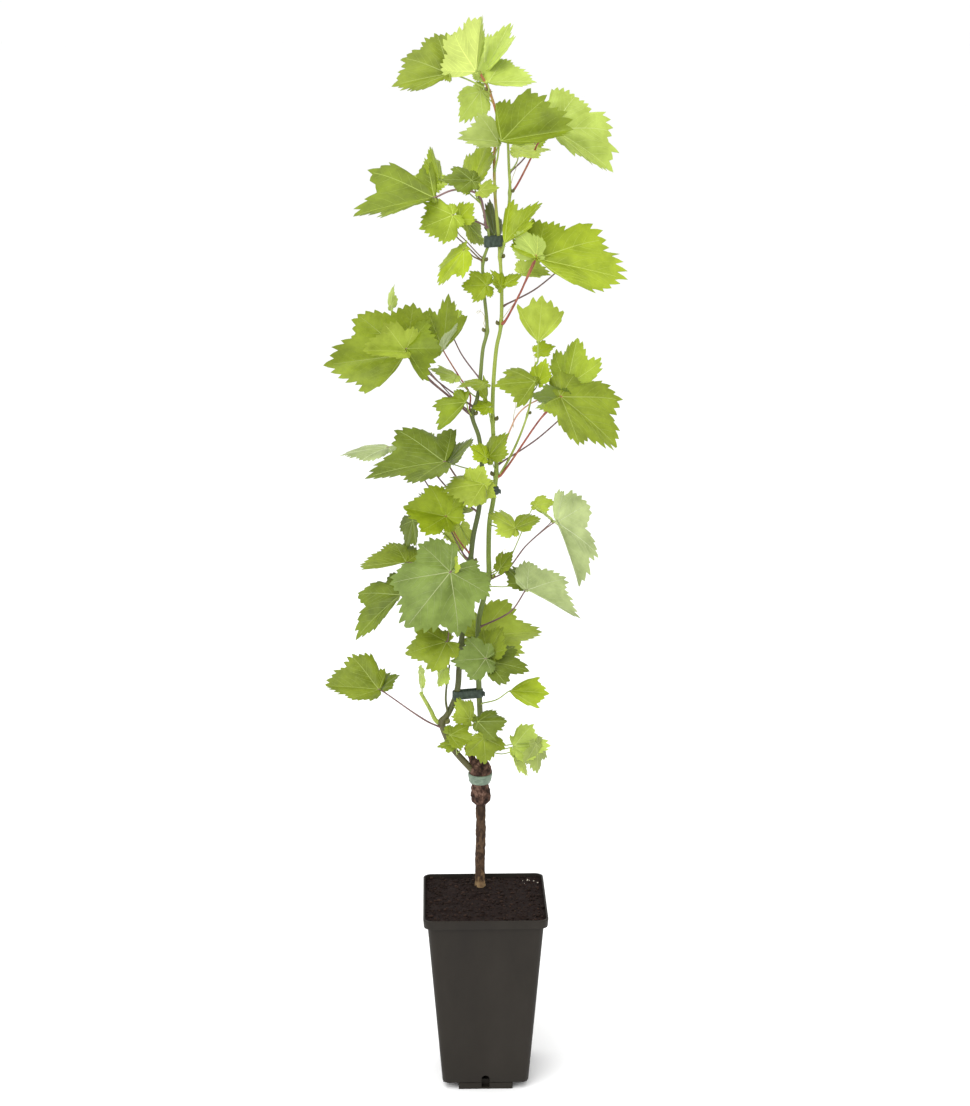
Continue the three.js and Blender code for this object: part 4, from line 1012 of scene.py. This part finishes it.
class Blade:
    """One leaf's flat outline and the bent surface that it is drawn on, in shares of its length."""

    def __init__(self, row, rng):
        self.row = row
        aim, lean, roll = (math.radians(a) for a in (row.aim, row.lean, row.roll))
        in_view = np.array([math.cos(aim), 0, math.sin(aim)])
        viewer = np.array([0, -1, 0])
        right = 1 if math.cos(aim) >= 0 else -1
        self.midrib = math.cos(lean) * in_view + math.sin(lean) * viewer
        facing = math.cos(lean) * viewer - math.sin(lean) * in_view
        upwards = np.array([-math.sin(aim) * right, 0, math.cos(aim) * right])
        self.face = facing * math.cos(roll) + upwards * math.sin(roll)
        self.across = np.cross(self.face, self.midrib)
        self.upper_side = right * (-1 if math.cos(roll) < 0 else 1)
        self.fold = math.radians(row.fold)
        self.waves = [
            (rng.uniform(0.016, 0.034), rng.choice((5, 6, 7)), rng.uniform(0, 6.3)),
            (rng.uniform(0.014, 0.035), rng.choice((2, 3)), rng.uniform(0, 6.3)),
            (rng.uniform(0.004, 0.009), rng.choice((11, 13)), rng.uniform(0, 6.3)),
        ]
        self.curl = rng.uniform(-0.01, 0.045)
        veins = [0, row.spread, row.spread + 53]
        if max(row.upper, row.lower) > 0.6:
            veins.append(row.spread + 98)
        veins = [v for v in veins if v < row.end - 8] or [0]
        self.veins = sorted({-v for v in veins} | set(veins))

    def reach(self, angle):
        """How far the blade runs from the end of its stalk, at angles in radians off the midrib."""
        row = self.row
        off_midrib = np.abs(np.degrees(angle))
        rear = np.where(angle * self.upper_side >= 0, row.upper, row.lower)
        best = np.zeros_like(off_midrib)
        for number, (reach, half, turn) in enumerate(LOBES):
            centre = 0 if number == 0 else row.spread + turn
            off = np.abs(off_midrib - centre) / (half * row.spread if turn == 0 else half)
            fade = np.clip((FADE_END - off) / FADE_LENGTH, 0, 1)
            bay = 1 - row.bays * np.minimum(off, FADE_END) ** LOBE_ROUND
            best = np.maximum(best, reach * (rear if turn else 1) * bay * fade)
        end = np.where(angle * self.upper_side >= 0, row.end, min(row.end, row.low_end))
        heart = np.clip((end - off_midrib) / HEART, 0, 1)
        return np.maximum(LEAST_REACH, best * heart)

    def place(self, u, v, lift):
        """Points at u along and v across the flat outline, lifted off the surface by mm."""
        angle = np.arctan2(v / self.row.width, u)
        out = np.clip(np.hypot(u, v / self.row.width) / self.reach(angle), 0, 1.15)
        height = (np.sqrt(v**2 + 0.0006) - 0.024) * math.sin(self.fold) - DROOP * (u * np.abs(u) + v**2)
        for size, count, phase in self.waves:
            height = height + size * out**2 * np.sin(count * angle + phase)
        height = height - self.curl * out**4
        between = np.interp(np.degrees(angle), self.veins, np.arange(len(self.veins)))
        swell = out * (1.05 - np.minimum(out, 1)) * (1 - np.cos(2 * math.pi * between))
        height = height + QUILTING * swell
        length = self.row.length
        return (
            np.array(self.row.base)
            + self.midrib * (u * length)[..., None]
            + self.across * (v * math.cos(self.fold) * length)[..., None]
            + self.face * (height * length + lift)[..., None]
        )


def fineness(length):
    """How many teeth and rings of points a blade has, and the depth of its teeth."""
    if length > LARGE:
        return 48, 13, 0.1
    if length < SMALL:
        return 26, 7, 0.13
    return 36, 9, 0.115


def add_blade(shape, blade, rng, upper, under):
    teeth, rings, depth = fineness(blade.row.length)
    spokes = len(TOOTH) * teeth
    angles = (np.arange(spokes) / spokes * 2 - 1) * math.pi
    reach = blade.reach(angles)
    sizes = [rng.uniform(0.45, 1.35) for _ in range(teeth + 1)]
    tooth = []
    for spoke in range(spokes):
        number, point = divmod(abs(spoke - spokes // 2), len(TOOTH))
        other_side = teeth // 2 if spoke < spokes // 2 else 0
        tooth.append(TOOTH[point] * sizes[number + other_side])
    teeth_out = depth * (np.array(tooth) - 0.45)
    shares = ((np.arange(rings + 1) / rings) ** 0.9)[:, None]
    edge = np.clip((shares - TEETH_FROM) / (1 - TEETH_FROM), 0, 1) ** 1.5
    radius = np.maximum(shares, 0.001) * reach * (1 + teeth_out * edge)
    u, v = radius * np.cos(angles), radius * np.sin(angles) * blade.row.width
    top = blade.place(u, v, BLADE_HALF)
    bottom = blade.place(u, v, -BLADE_HALF)
    shape.grid(top, upper, around=True)
    shape.grid(bottom, under, around=True, turned=True)
    shape.grid([top[-1], bottom[-1]], upper, around=True)


def add_ridge(shape, blade, u, v, width, place, side):
    """A raised vein along points of the flat outline, tapering to its end."""
    path = np.stack([u, v], -1)
    ahead = np.gradient(path, axis=0)
    ahead /= np.linalg.norm(ahead, axis=1)[:, None] + 1e-9
    aside = np.stack([-ahead[:, 1], ahead[:, 0]], -1)
    half = np.linspace(1, 0.35, len(u)) * width / 2 / blade.row.length
    left, right = path + aside * half[:, None], path - aside * half[:, None]
    low, high = (BLADE_HALF - 0.02) * side, (BLADE_HALF + 0.12 + width * 0.22) * side
    rows = [blade.place(*left.T, low), blade.place(u, v, high), blade.place(*right.T, low)]
    shape.grid(rows, place, turned=side > 0)


def side_vein(blade, start, angle, bend, bound, most_steps):
    """Points of a side vein, which bends ahead and stops near the edge or halfway to the next vein."""
    turn = math.copysign(1, bend)
    points = [(start * math.cos(angle), start * math.sin(angle))]
    for step in range(most_steps):
        bent = angle + bend - turn * VEIN_BEND * step
        u = points[-1][0] + VEIN_STEP * math.cos(bent)
        v = points[-1][1] + VEIN_STEP * math.sin(bent)
        spot = math.atan2(v, u)
        edge = float(blade.reach(np.array(spot)))
        if (spot - bound) * turn > 0.02 or math.hypot(u, v) > VEIN_END * edge:
            break
        points.append((u, v))
    return np.array(points)


def add_veins(shape, blade, upper, under, fine):
    """Main veins to the lobes and side veins off them, on both faces."""
    row = blade.row
    large = row.length > LARGE
    main = VEIN_WIDTH + row.length / 110
    if large:
        shares, most_steps = (0.2, 0.35, 0.5, 0.65, 0.8), 5
    else:
        shares, most_steps = ((0.35, 0.6) if row.length >= SMALL else ()), 4
    bounds = [-row.end, *blade.veins, row.end]
    for number, degrees in enumerate(blade.veins):
        angle = math.radians(degrees)
        length = float(blade.reach(np.array(angle)))
        if length < VEIN_LEAST:
            continue
        size = 1 if abs(degrees) < 90 else 0.7
        along = np.linspace(0.0, 0.94 * length, 11 if large else 6)
        bend = 0.03 * np.sin(math.pi * along / length) * np.sign(degrees)
        u, v = along * np.cos(angle + bend), along * np.sin(angle + bend) * row.width
        add_ridge(shape, blade, u, v, main * size, upper, 1)
        add_ridge(shape, blade, u, v, main * size * 1.25, under, -1)
        for turn, neighbour in ((-1, bounds[number]), (1, bounds[number + 2])):
            bound = math.radians((degrees + neighbour) / 2)
            for share in shares:
                start = (share + (0.03 if turn > 0 else -0.02)) * length
                bend = turn * math.radians(VEIN_ANGLE - 8 * share)
                points = side_vein(blade, start, angle, bend, bound, most_steps)
                if len(points) > 1:
                    u, v = points[:, 0], points[:, 1] * row.width
                    add_ridge(shape, blade, u, v, main * FINE_WIDTH, fine, 1)
                    add_ridge(shape, blade, u, v, main * UNDER_WIDTH, under, -1)


def leaf_materials(tint):
    """The variants of the upper face, then the underside and the veins."""
    dark, light, under, vein = TINTS[tint]
    fine = tuple(face + (main - face) * FINE_VEIN for face, main in zip(light, vein))
    out = []
    for variant in range(VARIANTS):
        factor = 1 + VARIETY * (2 * variant - VARIANTS + 1)
        # The wide spread between the mottle's dark and light stops is partly painted light and shade: the
        # bright and dark patches of a curved, translucent blade.
        stops = [(0.34, shade(dark, 0.94 * factor)), (0.66, shade(light, 1.05 * factor))]
        out.append(mottled(f"leaf_{tint}_{variant}", stops, 24, 0.46, 0.8, 4.5, specular=0.22))
    for part, rgb, darker, lighter, size, roughness, bump, grain, specular in (
        ("underside", under, 0.95, 1.05, 12, 0.6, 0.45, 3, 0.2),
        ("vein", vein, 0.95, 1.04, 5, 0.5, 0.08, 1, 0.5),
        ("back_vein", vein, 1, 1.08, 5, 0.55, 0.08, 1, 0.5),
        ("fine_vein", fine, 0.96, 1.02, 5, 0.5, 0.08, 1, 0.5),
    ):
        stops = [(0.3, shade(rgb, darker)), (0.7, shade(rgb, lighter))]
        out.append(mottled(f"leaf_{tint}_{part}", stops, size, roughness, bump, grain, specular=specular))
    return out


def make_leaves():
    """All blades, with their veins, joined by tint."""
    rng = random.Random(SEED + 2)
    joined = {tint: (Shape(), set()) for tint in TINTS}
    for row in LEAVES:
        older = row.base[2] < LOWER_CROWN and row.tint in ("deep", "mid")
        shape, nodes = joined[row.tint + "_low" if older else row.tint]
        blade = Blade(row, rng)
        add_blade(shape, blade, rng, rng.randrange(VARIANTS), VARIANTS)
        add_veins(shape, blade, VARIANTS + 1, VARIANTS + 2, VARIANTS + 3)
        nodes.add(row.mass)
    for tint, (shape, nodes) in joined.items():
        shape.make(f"leaves_{tint}_1", leaf_materials(tint), sorted(nodes), "leaf")


def stalk_route(row, rng):
    start, thick = at_height(row.shoot, row.height)
    end = np.array(row.base, float)
    outwards = np.array(row.via[0] if row.via else end, float) - start
    outwards[2] = 0
    outwards /= np.linalg.norm(outwards) + 1e-6
    foot = start + outwards * thick * 0.5
    knee = start + outwards * (thick + 1.6) + (0, 0, 1.5)
    aim = math.radians(row.aim)
    midrib = np.array([math.cos(aim), 0, math.sin(aim)])
    inner = row.via
    if not inner:
        middle = (knee + end) / 2 + (rng.uniform(-1, 1), rng.uniform(-1, 1), 0)
        middle[2] -= 0.06 * np.linalg.norm(end - knee)
        inner = [middle]
    return smooth_path([foot, knee, *inner, end - midrib * 0.5, end + midrib * 1.2], 1.6)


def make_stalks():
    """Every blade's stalk, joined by colour. Where stalks share a route, the later ones are thinner."""
    rng = random.Random(SEED + 3)
    joined = {colour: Shape() for colour in STALKS}
    drawn = set()
    for row in LEAVES:
        route = stalk_route(row, rng)
        share = np.linspace(0, 1, len(route))
        foot = 0.55 * np.exp(-((share / 0.05) ** 2))
        tip = 0.15 * np.exp(-(((1 - share) / 0.04) ** 2))
        radii = (STALK_RADIUS + row.length / 105) * (1 - 0.25 * share + foot + tip)
        key = (row.shoot, row.height, row.via if len(row.via) > 1 else row.base)
        if key in drawn:
            radii = radii * SHARED_STALK
        drawn.add(key)
        tube(joined[row.stalk], route, radii, 10)
    for colour, shape in joined.items():
        skin = mottled(f"stalk_{colour}_skin", STALKS[colour], 7, 0.5, 0.12, 1, 2)
        shape.make(f"stalks_{colour}", [skin], [], "leaf")


def spiral(start, end, turns, width):
    """A tendril's points: a straight run that curls up towards its end."""
    start, end = np.array(start, float), np.array(end, float)
    points = []
    for share in np.linspace(0, 1, 40):
        curl = max(0, share - 0.35) / 0.65
        angle = curl * turns * 2 * math.pi
        size = width * curl * (1.25 - curl)
        aside = (size * math.sin(angle), size * 0.4 * math.sin(angle * 0.5), size * (1 - math.cos(angle)))
        points.append(start + (end - start) * share + aside)
    return points


def make_tendrils():
    curls = Shape()
    for start, end, turns, width, radius in TENDRILS:
        route = smooth_path(spiral(start, end, turns, width), 0.9)
        tube(curls, route, np.linspace(radius, radius * 0.45, len(route)), 8)
    skin = mottled("tendril_skin", [(0.3, (158, 150, 96)), (0.7, (196, 186, 128))], 6, 0.55, 0.08, 0.8)
    curls.make("tendrils", [skin], [], "leaf")


# ---- Stage ----

CAMERA_PLACE = (-53, -2174, 1123)
CAMERA_PITCH = 14.12
CAMERA_YAW = 1.41
FILM = 36
LENS = 71.61  # on 36 mm along the picture's height
FLOOR_HALF = 60000
FLOOR_DROP = 0.4
SKY_STRENGTH = 1.02
# Name, place in metres, the height it looks at, side and power in watts.
SOFTBOXES = [
    ("top_softbox", (-0.5, -0.3, 3.2), 0.6, 2.4, 34),
    ("key_softbox", (-1, -2.2, 2.4), 0.65, 2.2, 54),
]


def make_stage():
    steps = np.linspace(-FLOOR_HALF, FLOOR_HALF, 9)
    floor = Shape()
    floor.grid([[(x, y, -FLOOR_DROP) for x in steps] for y in steps])
    mesh = floor.mesh("studio_floor")
    paper = [(0.3, (253, 253, 253)), (0.7, (255, 255, 255))]
    mesh.materials.append(mottled("studio_paper", paper, 900, 0.9, 0.02, 4, specular=0.1))
    into_scene("studio_floor", mesh)


def make_light():
    world = bpy.data.worlds.new("studio")
    bpy.context.scene.world = world
    world.use_nodes = True
    sky = world.node_tree.nodes["Background"]
    sky.inputs["Color"].default_value = (1, 1, 1, 1)
    sky.inputs["Strength"].default_value = SKY_STRENGTH
    for name, place, target, side, power in SOFTBOXES:
        lamp = bpy.data.lights.new(name, "AREA")
        lamp.shape = "SQUARE"
        lamp.size = side
        lamp.energy = power
        light = into_scene(name, lamp)
        light.location = place
        ahead = Vector((0, 0, target)) - Vector(place)
        light.rotation_euler = ahead.to_track_quat("-Z", "Y").to_euler()


def make_camera():
    camera = into_scene("camera", bpy.data.cameras.new("camera"))
    camera.data.sensor_width = FILM
    camera.data.sensor_fit = "AUTO"
    camera.data.lens = LENS
    camera.location = Vector(np.array(CAMERA_PLACE) * MM + ORIGIN)
    camera.rotation_euler = (math.radians(90 - CAMERA_PITCH), 0, math.radians(-CAMERA_YAW))
    bpy.context.scene.camera = camera


make_camera()
make_stage()
make_light()
make_pot()
make_soil()
make_rootstock()
make_graft()
make_tape()
make_shoots()
make_ties()
make_leaves()
make_stalks()
make_tendrils()

bpy.context.scene.view_settings.view_transform = "Standard"
